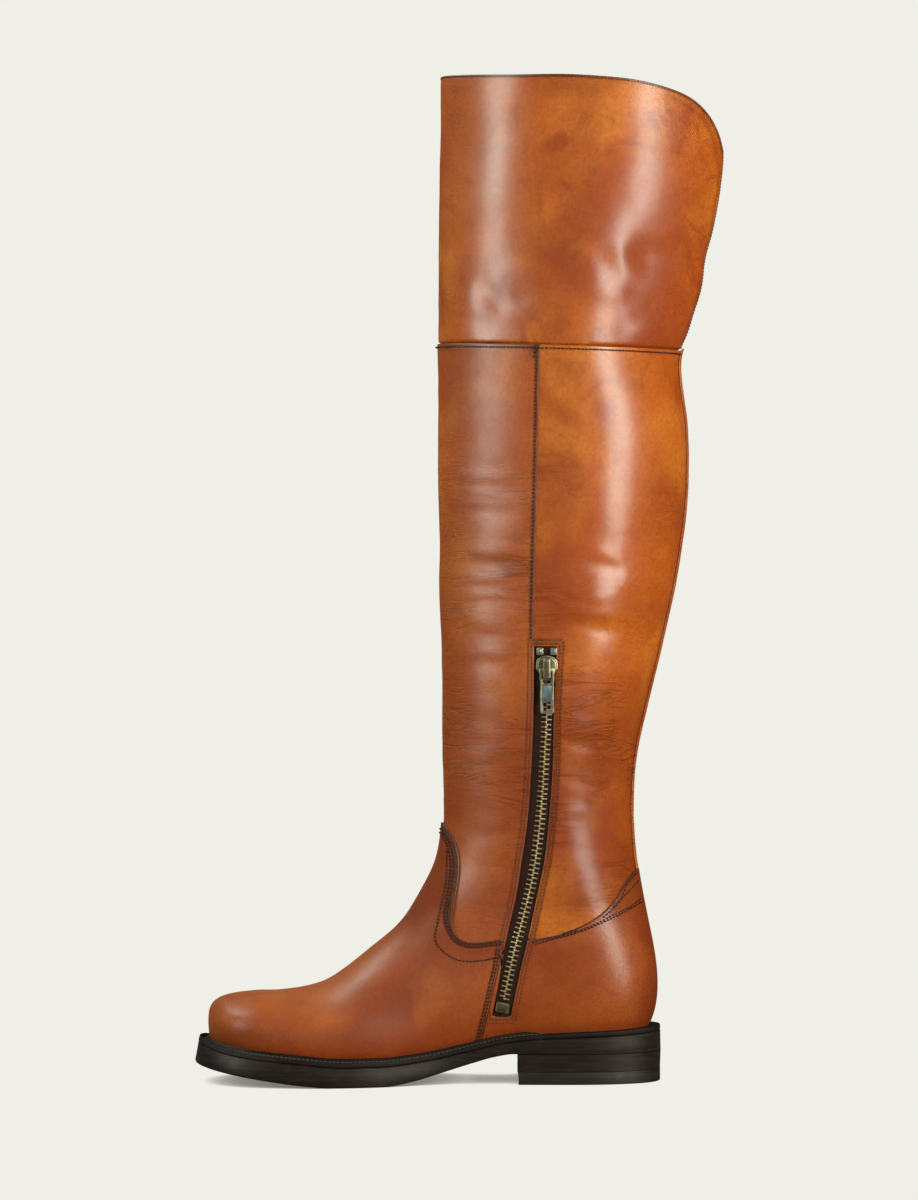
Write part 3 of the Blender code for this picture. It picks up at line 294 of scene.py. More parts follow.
def skin(along, angle):
    """Points of the form. angle runs from 0 at the front over the inner side (90 degrees) to the back."""
    along, angle = np.broadcast_arrays(np.asarray(along, float), np.asarray(angle, float))
    row = {name: curve(along) for name, curve in COLUMN.items()}
    into_toe = np.clip((along - TOE_BASE) / TOE_LENGTH, 0, 1)
    plan, side = ((1 - into_toe**power) ** (1 / power) for power in (TOE_ROUND_PLAN, TOE_ROUND_SIDE))
    front_z, back_z = (
        np.where(along > TOE_BASE, TOE_POLE_Z + (row[name] - TOE_POLE_Z) * side, row[name])
        for name in ("front_z", "back_z")
    )
    part = (1 - np.cos(angle)) / 2
    square = row["square_front"] + (row["square_back"] - row["square_front"]) * smooth_step(part, 0, 1)
    end_shape = np.maximum(1 - np.abs(np.cos(angle)) ** square, 0) ** (1 / square)
    u = (part - 0.5) / 0.3
    width = row["half_front"] * u * (u - 1) / 2 + row["half_mid"] * (1 - u * u) + row["half_back"] * u * (u + 1) / 2
    centre = row["side_front"] + (row["side_back"] - row["side_front"]) * part
    centre = centre + (TOE_POLE_SIDE - centre) * into_toe**3
    x = row["front_x"] + (row["back_x"] - row["front_x"]) * (part + (0.5 - part) * into_toe**12)
    y = centre - np.sign(np.sin(angle)) * end_shape * width * plan
    return np.stack([x, y, front_z + (back_z - front_z) * part], axis=-1)


def outward(along, angle):
    """Unit normals of the form. At the toe's pole, where the slices shrink to a point, they turn to the toe's axis."""
    along, angle = np.broadcast_arrays(np.asarray(along, float), np.asarray(angle, float))
    down = skin(np.minimum(along + 0.4, TOE_END), angle) - skin(np.maximum(along - 0.4, 0), angle)
    normal = np.cross(down, skin(along, angle + 0.004) - skin(along, angle - 0.004))
    length = np.linalg.norm(normal, axis=-1, keepdims=True)
    tip = np.zeros(normal.shape)
    tip[..., 0] = -1
    normal = np.where(length > 1e-7, normal / np.maximum(length, 1e-12), tip)
    normal = normal + (tip - normal) * smooth_step(along, TOE_END - 1.0, TOE_END - 0.3)[..., None]
    return normal / np.linalg.norm(normal, axis=-1, keepdims=True)


form_box = skin(np.linspace(0, TOE_END, 300)[:, None], np.linspace(0, 2 * PI, 120)[None, :]).reshape(-1, 3)
print("form from", form_box.min(0).round(1), "to", form_box.max(0).round(1), "mm")

# %% [markdown]
# ## Pattern lines
# The cut edges and seams of the boot in side view, in its own millimetres: x forwards and back, z up. Both sides of
# the leg use the same lines, except for the zip, which is only on the inner side.

# %% Pattern lines
LEATHER, LAYER_GAP = 2.0, 0.3  # leather with its lining, and the gap between two layers
OVERLAY = (LAYER_GAP, 1.7)  # the vamp and the counter lie over the shaft, between these depths
CUFF_DEPTH = -0.7
CUFF_EDGE = smooth_line(
    (-60, 609.4), (-14, 607.2), (0, 606.6), (18, 605.6), (38, 604.8), (60, 604.6), (84, 603.4), (107, 601.3),
    (124.4, 597.6), (140.5, 591.6), (151.8, 581.8), (158.4, 570.6), (161.9, 557), (164, 540),
)
VAMP_EDGE = smooth_line(
    (-30, 170), (-10.6, 157), (-4.8, 150.5), (-0.8, 141.3), (0.6, 131), (-1, 116.6), (-3.6, 101), (-3.4, 92.5),
    (0.6, 87.3), (6.6, 85.4), (15.3, 85.9), (25.2, 87.3), (36, 87.4),
)
SIDE_SEAM = smooth_line(
    (27.6, 95), (25.7, 84), (24.4, 75.3), (21.2, 61.4), (18.6, 49.7), (14.4, 32.6), (10, 15), (7, 3),
)
COUNTER_EDGE = smooth_line(
    (20, 87.3), (44.9, 87.4), (52.1, 88.8), (63.5, 91.2), (72.5, 95), (80, 98.8), (87.7, 104.2), (93.1, 110),
    (97.8, 117), (102.6, 123.4), (108.9, 128.6), (122, 134),
)
SHAFT_SEAM = smooth_line((53.6, 620), (48.5, 443), (46.6, 351.9), (45.6, 313.7), (44.9, 266), (44.9, 256))
WINDOW_FRONT = smooth_line(
    (44.9, 263), (44.6, 227.6), (43.8, 202.5), (42.5, 178), (40.3, 152.9), (37.3, 133.2), (33.9, 111.7),
    (29.3, 92), (24.7, 66.9), (20.3, 44.2), (18.6, 36),
)
WINDOW_BACK = smooth_line(
    (58.6, 263), (57.4, 240), (56.7, 222.2), (56, 187.6), (54.6, 167.8), (53, 149.9), (50.3, 130.2),
    (46.3, 111.7), (42.2, 92), (36.3, 66.9), (31.5, 44.2), (29.8, 36),
)
CHAIN_LINE = smooth_line(
    (52.6, 264), (52.6, 237.2), (52.5, 222.3), (51.3, 197.8), (50.5, 182.8), (49.4, 167.9), (47.5, 148.2),
    (45, 130.3), (41.6, 113.5), (37.2, 96.2), (33.2, 80.7), (28.6, 59.8), (26, 47.2),
)
WINDOW_TOP, WINDOW_LOW = 263.2, 41.0
welt_top = level_curve(
    (-162, 29), (-157, 27.8), (-150, 25.4), (-142, 23.2), (-123, 20.2), (-98, 17.5), (-68, 15), (-46, 15.1),
    (-22, 17.4), (3, 22.3), (26, 27.6), (45, 30), (71, 31.3), (99, 32.3), (122, 33.7),
)
WELT_THICK = 3.0
FAR = 99.0  # a distance for where there is no edge


def across(line, z):
    """Where a line that is drawn downwards is at height z."""
    return np.interp(z, line[::-1, 1], line[::-1, 0])


def side_distance(points, line):
    """Distance in side view from points to a line, positive on the line's left."""
    p = points[..., [0, 2]].reshape(-1, 2)
    best, signed = np.full(len(p), 1e9), np.full(len(p), 1e9)
    for a, b in zip(line[:-1], line[1:]):
        d, q = b - a, p - a
        if d @ d < 1e-12:
            continue
        far = np.hypot(*(q - np.clip(q @ d / (d @ d), 0, 1)[:, None] * d).T)
        side = np.where(d[0] * q[:, 1] < d[1] * q[:, 0], -1, 1)
        closer = far < best - 1e-9
        best, signed = np.where(closer, far, best), np.where(closer, far * side, signed)
    return signed.reshape(points.shape[:-1])


def window_distance(points):
    """How far outside the zip's window a place is, in side view. The outer side has no window."""
    x, y, z = np.moveaxis(points, -1, 0)
    outside = (across(WINDOW_FRONT, z) - x, x - across(WINDOW_BACK, z), WINDOW_LOW - z, z - WINDOW_TOP)
    return np.where(y < 0, reduce(np.maximum, outside), FAR)


def above_sole(points):
    """How far a place is above the leather's hidden lower edge."""
    return points[..., 2] - (welt_top(points[..., 0]) - WELT_THICK)


def seam_distance(points):
    """How far a place is ahead of the seam between the vamp and the counter."""
    return across(SIDE_SEAM, points[..., 2]) - points[..., 0]


def vamp_edge(points):
    return -side_distance(points, VAMP_EDGE)


def counter_edge(points):
    return -side_distance(points, COUNTER_EDGE)


print("zip window", WINDOW_TOP - WINDOW_LOW, "mm tall")

# %% [markdown]
# ## Creases
# A boot that stands empty still remembers the leg: the leather gathers in level creases at the ankle and the shin,
# in a few slack folds at the foot of the cuff, and in short ones where the instep bends. Displacement from noise
# alone looks like crumpled paper, so the main creases are placed one by one, as soft troughs that fade at both ends.
# A slow, very low waviness is added everywhere, because it is what makes the long reflections wander.

# %% Creases
INNER, OUTER = -1, 1
CREASES = (
    # x and z of its start and end in side view, half its width, its depth
    (INNER, (
        (12, 479, 27, 465, 7, 1.0), (22, 483, 46, 470, 8, 0.8), (66, 470, 98, 462, 8, 0.9),
        (84, 500, 96, 477, 7, 1.0), (100, 478, 122, 466, 7, 0.8), (58, 492, 76, 486, 6, 0.5),
        (104, 460, 124, 452, 5, 0.6), (2, 460, 20, 453, 6, 0.6), (36, 457, 60, 452, 6, 0.5),
        (-6, 361, 36, 357, 4, 0.35), (-4, 344, 38, 343, 4.5, 0.4), (2, 352, 26, 350, 3, 0.25),
        (-8, 313, 44, 313, 5, 0.55), (-8, 300, 30, 297, 4, 0.35), (0, 291, 32, 289, 3.5, 0.3),
        (48, 340, 61, 339, 1.8, 0.5), (34, 279, 47, 276, 2.2, 0.5), (74, 314, 97, 308, 5, 0.7),
        (62, 279, 94, 273, 5, 0.9), (92, 273, 122, 267, 5, 0.6), (66, 290, 84, 285, 4, 0.4),
        (96, 296, 120, 290, 5, 0.4), (60, 226, 84, 222, 4, 0.45), (62, 206, 82, 203, 3.5, 0.55),
        (64, 195, 90, 190, 3.5, 0.5), (60, 184, 80, 180, 3, 0.4), (62, 172, 92, 168, 4, 0.5),
        (58, 160, 84, 156, 3.5, 0.5), (56, 142, 86, 139, 4, 0.5), (54, 128, 80, 124, 3.5, 0.4),
        (52, 113, 76, 110, 3, 0.35), (88, 210, 108, 205, 5, 0.4), (-4, 238, 26, 235, 4, 0.35),
        (0, 222, 32, 220, 3.5, 0.35), (-6, 207, 30, 204, 4, 0.45), (2, 193, 34, 192, 3.5, 0.4),
        (-4, 181, 26, 178, 4, 0.5), (2, 166, 30, 165, 3.5, 0.35), (6, 150, 32, 149, 4, 0.35),
        (6, 132, 28, 130, 4, 0.3), (4, 100, 16, 94, 3, 0.5), (-2, 272, 30, 268, 5, 0.3), (-6, 254, 30, 252, 4, 0.3),
        (94, 240, 112, 236, 5, 0.35), (-92, 56, -84, 34, 9, 0.35), (-72, 58, -62, 34, 10, 0.45),
        (-52, 72, -42, 46, 10, 0.4),
    )),
    (OUTER, (
        (10, 476, 40, 466, 8, 0.9), (62, 482, 92, 468, 8, 0.8), (96, 470, 122, 460, 7, 0.7),
        (-8, 352, 40, 350, 5, 0.4), (20, 318, 70, 314, 5, 0.5), (76, 302, 118, 296, 6, 0.7),
        (-6, 288, 40, 285, 5, 0.5), (50, 268, 104, 262, 6, 0.8), (0, 250, 50, 246, 5, 0.5),
        (60, 236, 100, 230, 5, 0.6), (0, 214, 46, 212, 4, 0.6), (44, 200, 96, 195, 5, 0.8),
        (-4, 186, 36, 184, 4, 0.6), (40, 176, 92, 170, 4.5, 0.9), (2, 164, 38, 161, 4, 0.5),
        (36, 150, 94, 146, 5, 0.8), (20, 132, 70, 126, 4, 0.6), (50, 114, 88, 110, 4, 0.5),
        (-90, 56, -80, 32, 9, 0.4), (-70, 58, -58, 32, 10, 0.5), (-50, 72, -40, 44, 10, 0.45),
    )),
)
FOLDS = (
    # side, x, z, width along x, width along z, height
    (INNER, 62, 476, 22, 30, 2.5), (INNER, 114, 478, 22, 36, -2.7), (INNER, 28, 462, 13, 14, -1.3),
    (INNER, 2, 470, 9, 12, 1.0), (INNER, 88, 290, 18, 11, 1.1), (INNER, 84, 318, 20, 12, -0.7),
    (INNER, 96, 255, 16, 9, 0.6), (INNER, 20, 505, 14, 40, 0.6), (OUTER, 60, 480, 20, 26, 2.0),
    (OUTER, 106, 470, 16, 28, -2.2), (OUTER, 20, 470, 18, 20, -1.2), (OUTER, 84, 290, 20, 14, 1.2),
)
LATTICE = np.random.default_rng(11).uniform(-1, 1, (24, 24, 24))


def soft_noise(points, size, seed):
    """Smooth hills between -1 and 1, about size wide."""
    place = np.asarray(points, float) / size + seed * 7.31
    cell = np.floor(place).astype(int)
    f = smooth_step(place - cell, 0, 1)
    total = 0.0
    for corner in np.ndindex(2, 2, 2):
        i, j, k = np.moveaxis((cell + corner) % len(LATTICE), -1, 0)
        total = total + np.prod(np.where(corner, f, 1 - f), axis=-1) * LATTICE[i, j, k]
    return total


def crease_strength(x, z, deep):
    """Fine creases low on the leg are only just felt, and those of the cuff are soft."""
    if z < 240 and deep < 0.56:
        return 0.17
    return 0.45 if z > 440 else 0.75 if x < 50 else 0.6


def crease_field(points):
    """How far the leather moves outwards at points of the form."""
    x, y, z = np.moveaxis(points, -1, 0)
    moved = np.zeros(x.shape)
    for side, x1, z1, x2, z2, wide, deep in ((side, *crease) for side, creases in CREASES for crease in creases):
        near = (np.abs(z - (z1 + z2) / 2) < abs(z2 - z1) + 3 * wide) & (y * side > 0)
        px, pz, dx, dz = x[near] - x1, z[near] - z1, x2 - x1, z2 - z1
        long_ = math.hypot(dx, dz)
        t = (px * dx + pz * dz) / long_
        off = (pz * dx - px * dz) / long_ + 0.12 * wide * np.sin(t / (1.6 * wide) + x1)
        ends = smooth_step(t, -0.15 * long_ - 2, 0.3 * long_) * (1 - smooth_step(t, 0.7 * long_, 1.15 * long_ + 2))
        shape = 0.7 * bell(off, 1.5 * wide, wide) - bell(off, 0, wide)
        moved[near] += crease_strength(x1, z1, deep) * deep * shape * ends * smooth_step(np.abs(y[near]), 3, 14)
    for side, at_x, at_z, wide, tall, high in FOLDS:
        hill = np.exp(-0.5 * (((x - at_x) / wide) ** 2 + ((z - at_z) / tall) ** 2))
        moved += high * hill * smooth_step(y * side, 3, 16)
    return moved


def relief(points):
    """Creases, the slow waviness and the forefoot's fullness, in mm outwards. The toe and the zip stay firm."""
    x, _, z = np.moveaxis(points, -1, 0)
    tall = points * (1, 1, 1.5)
    waves = 0.42 * soft_noise(tall, 46, 1) + 0.13 * soft_noise(tall * (1, 1, 1.6), 22, 2) * smooth_step(z, 120, 160)
    forefoot = smooth_step(z - 30 - 0.28 * (x + 110), 0, 18) * (z < 170)
    full = forefoot * (2.2 * bell(x, -72, 42) + smooth_step(-x, 108, 124))
    back = smooth_step(x, 96, 116) * (1.6 * bell(z, 452, 10) - 2.0 * bell(z, 496, 13))
    by_zip = 0.12 + 0.88 * smooth_step(window_distance(points), 0, 14)
    return (crease_field(points) + waves * (0.12 + 0.88 * smooth_step(z, 40, 120)) + full + back) * by_zip


def at_depth(along, angle, depth):
    """Points of the form moved outwards by depth, creases included."""
    base = skin(along, angle)
    return base + outward(along, angle) * (depth + relief(base))[..., None]


print(sum(len(creases) for _, creases in CREASES), "placed creases")

# %% [markdown]
# ## Cutting a piece
# A leather piece is a sheet cut to its pattern lines. A Boolean could cut it, but leaves ragged faces that show in
# the gloss. Here the sheet's own grid is fitted to the cut: wherever a grid line crosses the pattern line, the
# nearer grid point slides onto it, and what lies outside is dropped. The piece then gets a second face behind it,
# and its edge is rounded over and finished in the darker colour of a cut, dyed edge.

# %% Cutting a piece
def quads_of(index):
    """The cells of a grid of point numbers, as rows of four."""
    return np.stack([index[:-1, :-1], index[1:, :-1], index[1:, 1:], index[:-1, 1:]], -1).reshape(-1, 4)


HALVINGS = 13  # how often the place of a cut is narrowed down by half


def cut_sheet(along, angle, inside):
    """(places along, angles, faces) of a grid cut where inside(along, angle) is negative."""
    a, b = (part.ravel().copy() for part in np.meshgrid(along, angle, indexing="ij"))
    value = inside(a, b)
    index = np.arange(a.size).reshape(len(along), len(angle))
    ends = ((index[:-1], index[1:]), (index[:, :-1], index[:, 1:]))
    pairs = np.concatenate([np.stack([start.ravel(), end.ravel()], 1) for start, end in ends])
    pairs = pairs[(value[pairs[:, 0]] > 0) != (value[pairs[:, 1]] > 0)]
    first, second = pairs.T
    low, high = np.zeros(len(pairs)), np.ones(len(pairs))
    for _ in range(HALVINGS):
        t = (low + high) / 2
        here = inside(a[first] + (a[second] - a[first]) * t, b[first] + (b[second] - b[first]) * t) > 0
        same = here == (value[first] > 0)
        low, high = np.where(same, t, low), np.where(same, high, t)
    t = (low + high) / 2
    order = np.argsort(np.minimum(t, 1 - t), kind="stable")
    moved, at = np.unique(np.where(t < 0.5, first, second)[order], return_index=True)
    pick = order[at]
    new_a, new_b = (v[first[pick]] + (v[second[pick]] - v[first[pick]]) * t[pick] for v in (a, b))
    a[moved], b[moved] = new_a, new_b
    kind = np.where(value > 0, 1, -1)
    kind[moved] = 0
    quads = quads_of(index)
    kinds = kind[quads]
    out = (kinds < 0).sum(1)
    whole = (out == 0) & ((kinds > 0).any(1) | (inside(a[quads].mean(1), b[quads].mean(1)) > 0))
    faces = [tuple(face) for face in quads[whole]]
    for k in range(4):
        lost = (out == 1) & (kinds[:, k] < 0)
        corners = quads[lost][:, [(k + 1) % 4, (k + 2) % 4, (k + 3) % 4]]
        keep = (kinds[lost][:, (k + 2) % 4] > 0) | (inside(a[corners].mean(1), b[corners].mean(1)) > 0)
        faces += [tuple(face) for face in corners[keep]]
    used = np.unique(np.concatenate(faces))
    new = np.full(a.size, -1)
    new[used] = np.arange(len(used))
    return a[used], b[used], [tuple(new[list(face)].tolist()) for face in faces]


def border_of(faces):
    """The sheet's border as directed pairs of points."""
    seen = {(v, w): True for face in faces for v, w in zip(face, face[1:] + face[:1])}
    return np.array([pair for pair in seen if pair[::-1] not in seen])


def finish_mesh(mesh, weld=0.0, closed=True, sharp=None):
    """Welds points that coincide, turns a closed mesh's faces outwards, and smooths all but its sharp edges."""
    bm = bmesh.new()
    bm.from_mesh(mesh)
    if weld:
        bmesh.ops.remove_doubles(bm, verts=bm.verts, dist=weld)
    if closed:
        bmesh.ops.recalc_face_normals(bm, faces=bm.faces)
    else:
        bmesh.ops.dissolve_degenerate(bm, edges=bm.edges, dist=1e-7)
    bm.to_mesh(mesh)
    bm.free()
    if sharp:
        mesh.shade_smooth()
        mesh.set_sharp_from_angle(angle=math.radians(sharp))


def new_piece(name, mesh):
    piece = bpy.data.objects.new(name, mesh)
    scene.collection.objects.link(piece)
    print(f"{name}: {len(mesh.polygons)} faces")
    return piece


def make_sheet(name, cut, top, bottom, finishes, fields, edge_round=0.4):
    """A leather piece: its face at depth top, its back at depth bottom, and a rounded, dyed edge between them.
    finishes are those of the face, the back and the edge. fields are functions of a place that are kept as the
    piece's attributes, for its finish to read."""
    along, angle, faces = cut
    base, normal = skin(along, angle), outward(along, angle)
    lift = relief(base)
    depths = (depth(along, angle) if callable(depth) else depth for depth in (top, bottom))
    front, back = (base + normal * (depth + lift)[:, None] for depth in depths)
    border = border_of(faces)
    inwards = np.zeros(base.shape)
    for end in (0, 1):
        np.add.at(inwards, border[:, end], front[border[:, 1]] - front[border[:, 0]])
    edge = np.unique(border)
    turned = np.cross(normal[edge], inwards[edge])
    turned /= np.maximum(np.linalg.norm(turned, axis=1, keepdims=True), 1e-9)
    corner = front[list(faces[0][:3])]
    if np.dot(np.cross(corner[1] - corner[0], corner[2] - corner[0]), normal[faces[0][0]]) < 0:
        turned, border = -turned, border[:, ::-1]
        faces = [face[::-1] for face in faces]
    count = len(base)
    half_way = front[edge] + (turned - normal[edge]) * 0.3 * edge_round
    low_ring = front[edge] - normal[edge] * edge_round
    front[edge] += turned * edge_round
    ring = dict(zip(edge.tolist(), range(2 * count, 2 * count + len(edge))))
    slots = [0] * len(faces) + [1] * len(faces) + [0, 2, 2] * len(border)
    faces = faces + [tuple(v + count for v in face[::-1]) for face in faces]
    for v, w in border.tolist():
        steps = ((v, w), (ring[v], ring[w]), (ring[v] + len(edge), ring[w] + len(edge)), (v + count, w + count))
        faces += [(near_w, near_v, far_v, far_w) for (near_v, near_w), (far_v, far_w) in zip(steps, steps[1:])]
    mesh = bpy.data.meshes.new(name)
    mesh.from_pydata(np.concatenate([front, back, half_way, low_ring]) * MM, [], faces)
    for finish in finishes:
        mesh.materials.append(finish)
    mesh.polygons.foreach_set("material_index", slots)
    for field, function in fields.items():
        value = np.broadcast_to(function(base), count)
        value = np.concatenate([value, value, value[edge], value[edge]]).astype(np.float32)
        mesh.attributes.new(field, "FLOAT", "POINT").data.foreach_set("value", value)
    mesh.update()
    finish_mesh(mesh, 2e-6, closed=False, sharp=62)
    return new_piece(name, mesh)


def round_from(start, end, step_mm, radius=75.0):
    """Angles from start to end, about step_mm apart on a leg of this radius."""
    return rows_from(start, end, step_mm / radius)


def rows_from(start, end, step):
    return np.linspace(start, end, int((end - start) / step) + 2)


def on_form(test):
    """A test of points as a test of places on the form."""
    return lambda along, angle: test(skin(along, angle))


toe_rows = TOE_BASE + TOE_LENGTH * np.sin(np.linspace(0, 0.5 * PI, 48))
FOOT_ROWS = np.concatenate([rows_from(PLACE["ankle high"] - 24, TOE_BASE, 1.6)[:-1], toe_rows])
print("rows for the foot:", len(FOOT_ROWS))

# %% [markdown]
# ## Waxed leather
# The boot is calf dyed a warm tan and waxed by hand, so its colour is never even: slow clouds of lighter and darker
# tan, small dark patches where wax gathered, and darker burnishing near the sole, the seams and the cut edges. The
# last few millimetres above the welt are darkened further, as painted shade where the leather meets the welt. The
# gloss is a thin clear coat over a softer shine. Pores and hair-fine wrinkles are too small to model, so they are a
# bump. The finish reads the piece's own attributes for what follows its edges: edge_mm is the distance to the cut
# edge, where the leather is darker, and each row of stitches lies in a small groove at a set distance from it, with
# painted shade darkening the groove.

# %% Finish helpers
class Finish:
    """A procedural material. Each method adds a node to it and returns the node's output."""

    def __init__(self, name, **settings):
        self.material = bpy.data.materials.new(name)
        self.material.use_nodes = True
        self.tree = self.material.node_tree
        self.shader = self.tree.nodes["Principled BSDF"]
        for key, value in settings.items():
            self.shader.inputs[key.replace("_", " ")].default_value = value
        self.where = self.add("ShaderNodeTexCoord", out="Object")

    def add(self, kind, inputs=(), out=0, **settings):
        return add(self.tree, kind, inputs, out, **settings)

    def mix(self, factor, a, b):
        return mix(self.tree, factor, a, b)

    def calc(self, operation, a, b=0.0, c=0.0, clamp=False):
        return self.add("ShaderNodeMath", (a, b, c), operation=operation, use_clamp=clamp)

    def ease(self, value, low, high, to_low=0.0, to_high=1.0):
        """value eased from low..high to to_low..to_high."""
        names = ("Value", "From Min", "From Max", "To Min", "To Max")
        inputs = dict(zip(names, (value, low, high, to_low, to_high)))
        return self.add("ShaderNodeMapRange", inputs, interpolation_type="SMOOTHSTEP")

    def clouds(self, scale, detail=3.0, rough=0.5, distortion=0.0, stretch=None, where=None):
        """Noise in object space. scale is in patches per metre, and stretch squeezes it along an axis."""
        where = self.where if where is None else where
        if stretch:
            where = self.add("ShaderNodeMapping", {"Vector": where, "Scale": stretch})
        inputs = {"Vector": where, "Scale": scale, "Detail": detail, "Roughness": rough, "Distortion": distortion}
        return self.add("ShaderNodeTexNoise", inputs)

    def kept(self, name):
        return self.add("ShaderNodeAttribute", out="Fac", attribute_name=name)

    def bump(self, height, distance, strength=1.0, under=None):
        inputs = {"Height": height, "Distance": distance, "Strength": strength, "Normal": under}
        return self.add("ShaderNodeBump", inputs)

    def done(self, **sockets):
        """Links what was made to the shader and gives back the material."""
        for name, socket in sockets.items():
            self.tree.links.new(socket, self.shader.inputs[name.replace("_", " ")])
        return self.material


# %% Waxed leather
TAN = (linear(148, 58, 8), linear(181, 86, 12), linear(212, 122, 36))  # dark, middle, light
PANEL_TAN = (linear(152, 64, 8), linear(172, 80, 14), linear(192, 104, 34))
FOOT_TAN = (linear(134, 52, 8), linear(162, 76, 14), linear(174, 86, 24))
# The burnished colour also serves for the painted shade just above the welt, and the edge dye for the painted shade in
# the stitch grooves.
BURNISH_AND_WELT_SHADE, EDGE_DYE_AND_GROOVE_SHADE = linear(104, 36, 6), linear(58, 28, 16)
STRIP_INNER, STRIP_OUTER = linear(56, 26, 16), linear(104, 54, 34)


def waxed_leather(name, tones=TAN, rows=None, gloss=0.34, wrinkles=1.0, seed=0.0, coat_rough=0.24, patches=0.45,
                  groove_width=0.9):
    """tones are dark, middle and light. rows gives, for each attribute, the distances in mm at which stitches lie
    in the leather."""
    f = Finish(name, Coat_Weight=0.34, Coat_Roughness=coat_rough, Specular_IOR_Level=0.13,
               Specular_Tint=(1.0, 0.82, 0.6, 1.0))
    moved = f.add("ShaderNodeMapping", {"Vector": f.where, "Location": (seed, seed * 0.7, 0.0)})
    tone = tones[0]
    for noise, (low, high, most), colour in (
        ((9.0, 3.0, 0.55, 0.4), (0.34, 0.66, 1.0), tones[1]),
        ((17.0, 2.0, 0.5, 0.6), (0.42, 0.72, 0.6), tones[2]),
        ((38.0, 5.0, 0.6, 1.2), (0.50, 0.70, patches), tones[0]),
        ((420.0, 4.0, 0.65), (0.35, 0.70, 0.30), BURNISH_AND_WELT_SHADE),
        ((1300.0, 3.0, 0.7), (0.5, 0.72, 0.24), BURNISH_AND_WELT_SHADE),
    ):
        tone = f.mix(f.ease(f.clouds(*noise, where=moved), low, high, 0.0, most), tone, colour)
    # darker by the piece's burnishing attribute, which also holds the painted shade just above the welt
    tone = f.mix(f.kept("burnish_and_welt_shade"), tone, BURNISH_AND_WELT_SHADE)
    edge = f.kept("edge_mm")
    tone = f.mix(f.ease(edge, 0.2, 5.0, 0.30, 0.0), tone, BURNISH_AND_WELT_SHADE)
    tone = f.mix(f.ease(edge, 0.05, 0.5, 0.7, 0.0), tone, EDGE_DYE_AND_GROOVE_SHADE)
    groove = 0.0
    for field, offsets in (rows or {}).items():
        for offset in offsets:
            off = f.calc("ABSOLUTE", f.calc("SUBTRACT", f.kept(field), offset))
            groove = f.calc("MAXIMUM", groove, f.ease(off, 0.2, groove_width, 1.0, 0.0))
    # painted shade: each stitch groove is darkened towards the edge dye colour
    tone = f.mix(f.calc("MULTIPLY", groove, 0.34), tone, EDGE_DYE_AND_GROOVE_SHADE)
    strip = f.ease(edge, -0.3, 0.0, 1.0, 0.0)
    fibres = f.ease(f.clouds(900.0, 4.0, 0.7), 0.3, 0.7)
    tone = f.mix(strip, tone, f.mix(fibres, STRIP_INNER, STRIP_OUTER))
    rough = f.ease(f.clouds(60.0, 4.0, 0.6, where=moved), 0.3, 0.75, gloss, gloss + 0.12)
    dull = f.calc("MAXIMUM", strip, f.calc("MULTIPLY", f.kept("burnish_and_welt_shade"), 1.5), clamp=True)
    polish = f.ease(f.clouds(34.0, 5.0, 0.65), 0.3, 0.7, 0.30, 0.46)
    pores = f.add("ShaderNodeTexVoronoi", {"Vector": f.where, "Scale": 900.0}, feature="DISTANCE_TO_EDGE")
    height = f.bump(f.ease(pores, 0.0, 0.25), 0.00017, 0.75)
    height = f.bump(f.clouds(260.0, 4.0, 0.65), 0.00022, 0.6, height)
    slack = f.kept("slack")
    zone = f.calc("MULTIPLY", f.ease(f.clouds(14.0, 2.0), 0.42, 0.66), slack)
    folds = f.calc("MULTIPLY", f.clouds(120.0, 4.0, 0.62, 1.0, (0.42, 0.42, 1.6)), zone)
    height = f.bump(folds, 0.0008 * wrinkles, 0.8, height)
    thin = f.clouds(70.0, 5.0, 0.6, 0.8, (0.34, 0.34, 1.9))
    thin = f.ease(f.calc("ABSOLUTE", f.calc("SUBTRACT", thin, 0.5)), 0.0, 0.045)
    zone = f.calc("MULTIPLY", f.ease(f.clouds(22.0, 2.0, where=moved), 0.38, 0.54), slack)
    height = f.bump(f.calc("MULTIPLY", f.calc("SUBTRACT", thin, 1.0), zone), 0.00045 * wrinkles, 0.8, height)
    return f.done(
        Base_Color=tone, Roughness=f.calc("MULTIPLY_ADD", dull, 0.25, rough),
        Coat_Weight=f.calc("MULTIPLY", polish, f.calc("SUBTRACT", 1.0, dull)),
        Normal=f.bump(groove, -0.00035, 1.0, height),
    )


def plain_finish(name, tint, dark, light, grain, depth, **settings):
    """A finish with one cloud of colour and one fine grain, both given as for Finish.clouds."""
    f = Finish(name, **settings)
    return f.done(Base_Color=f.mix(f.clouds(*tint), dark, light), Normal=f.bump(f.clouds(*grain), *depth))


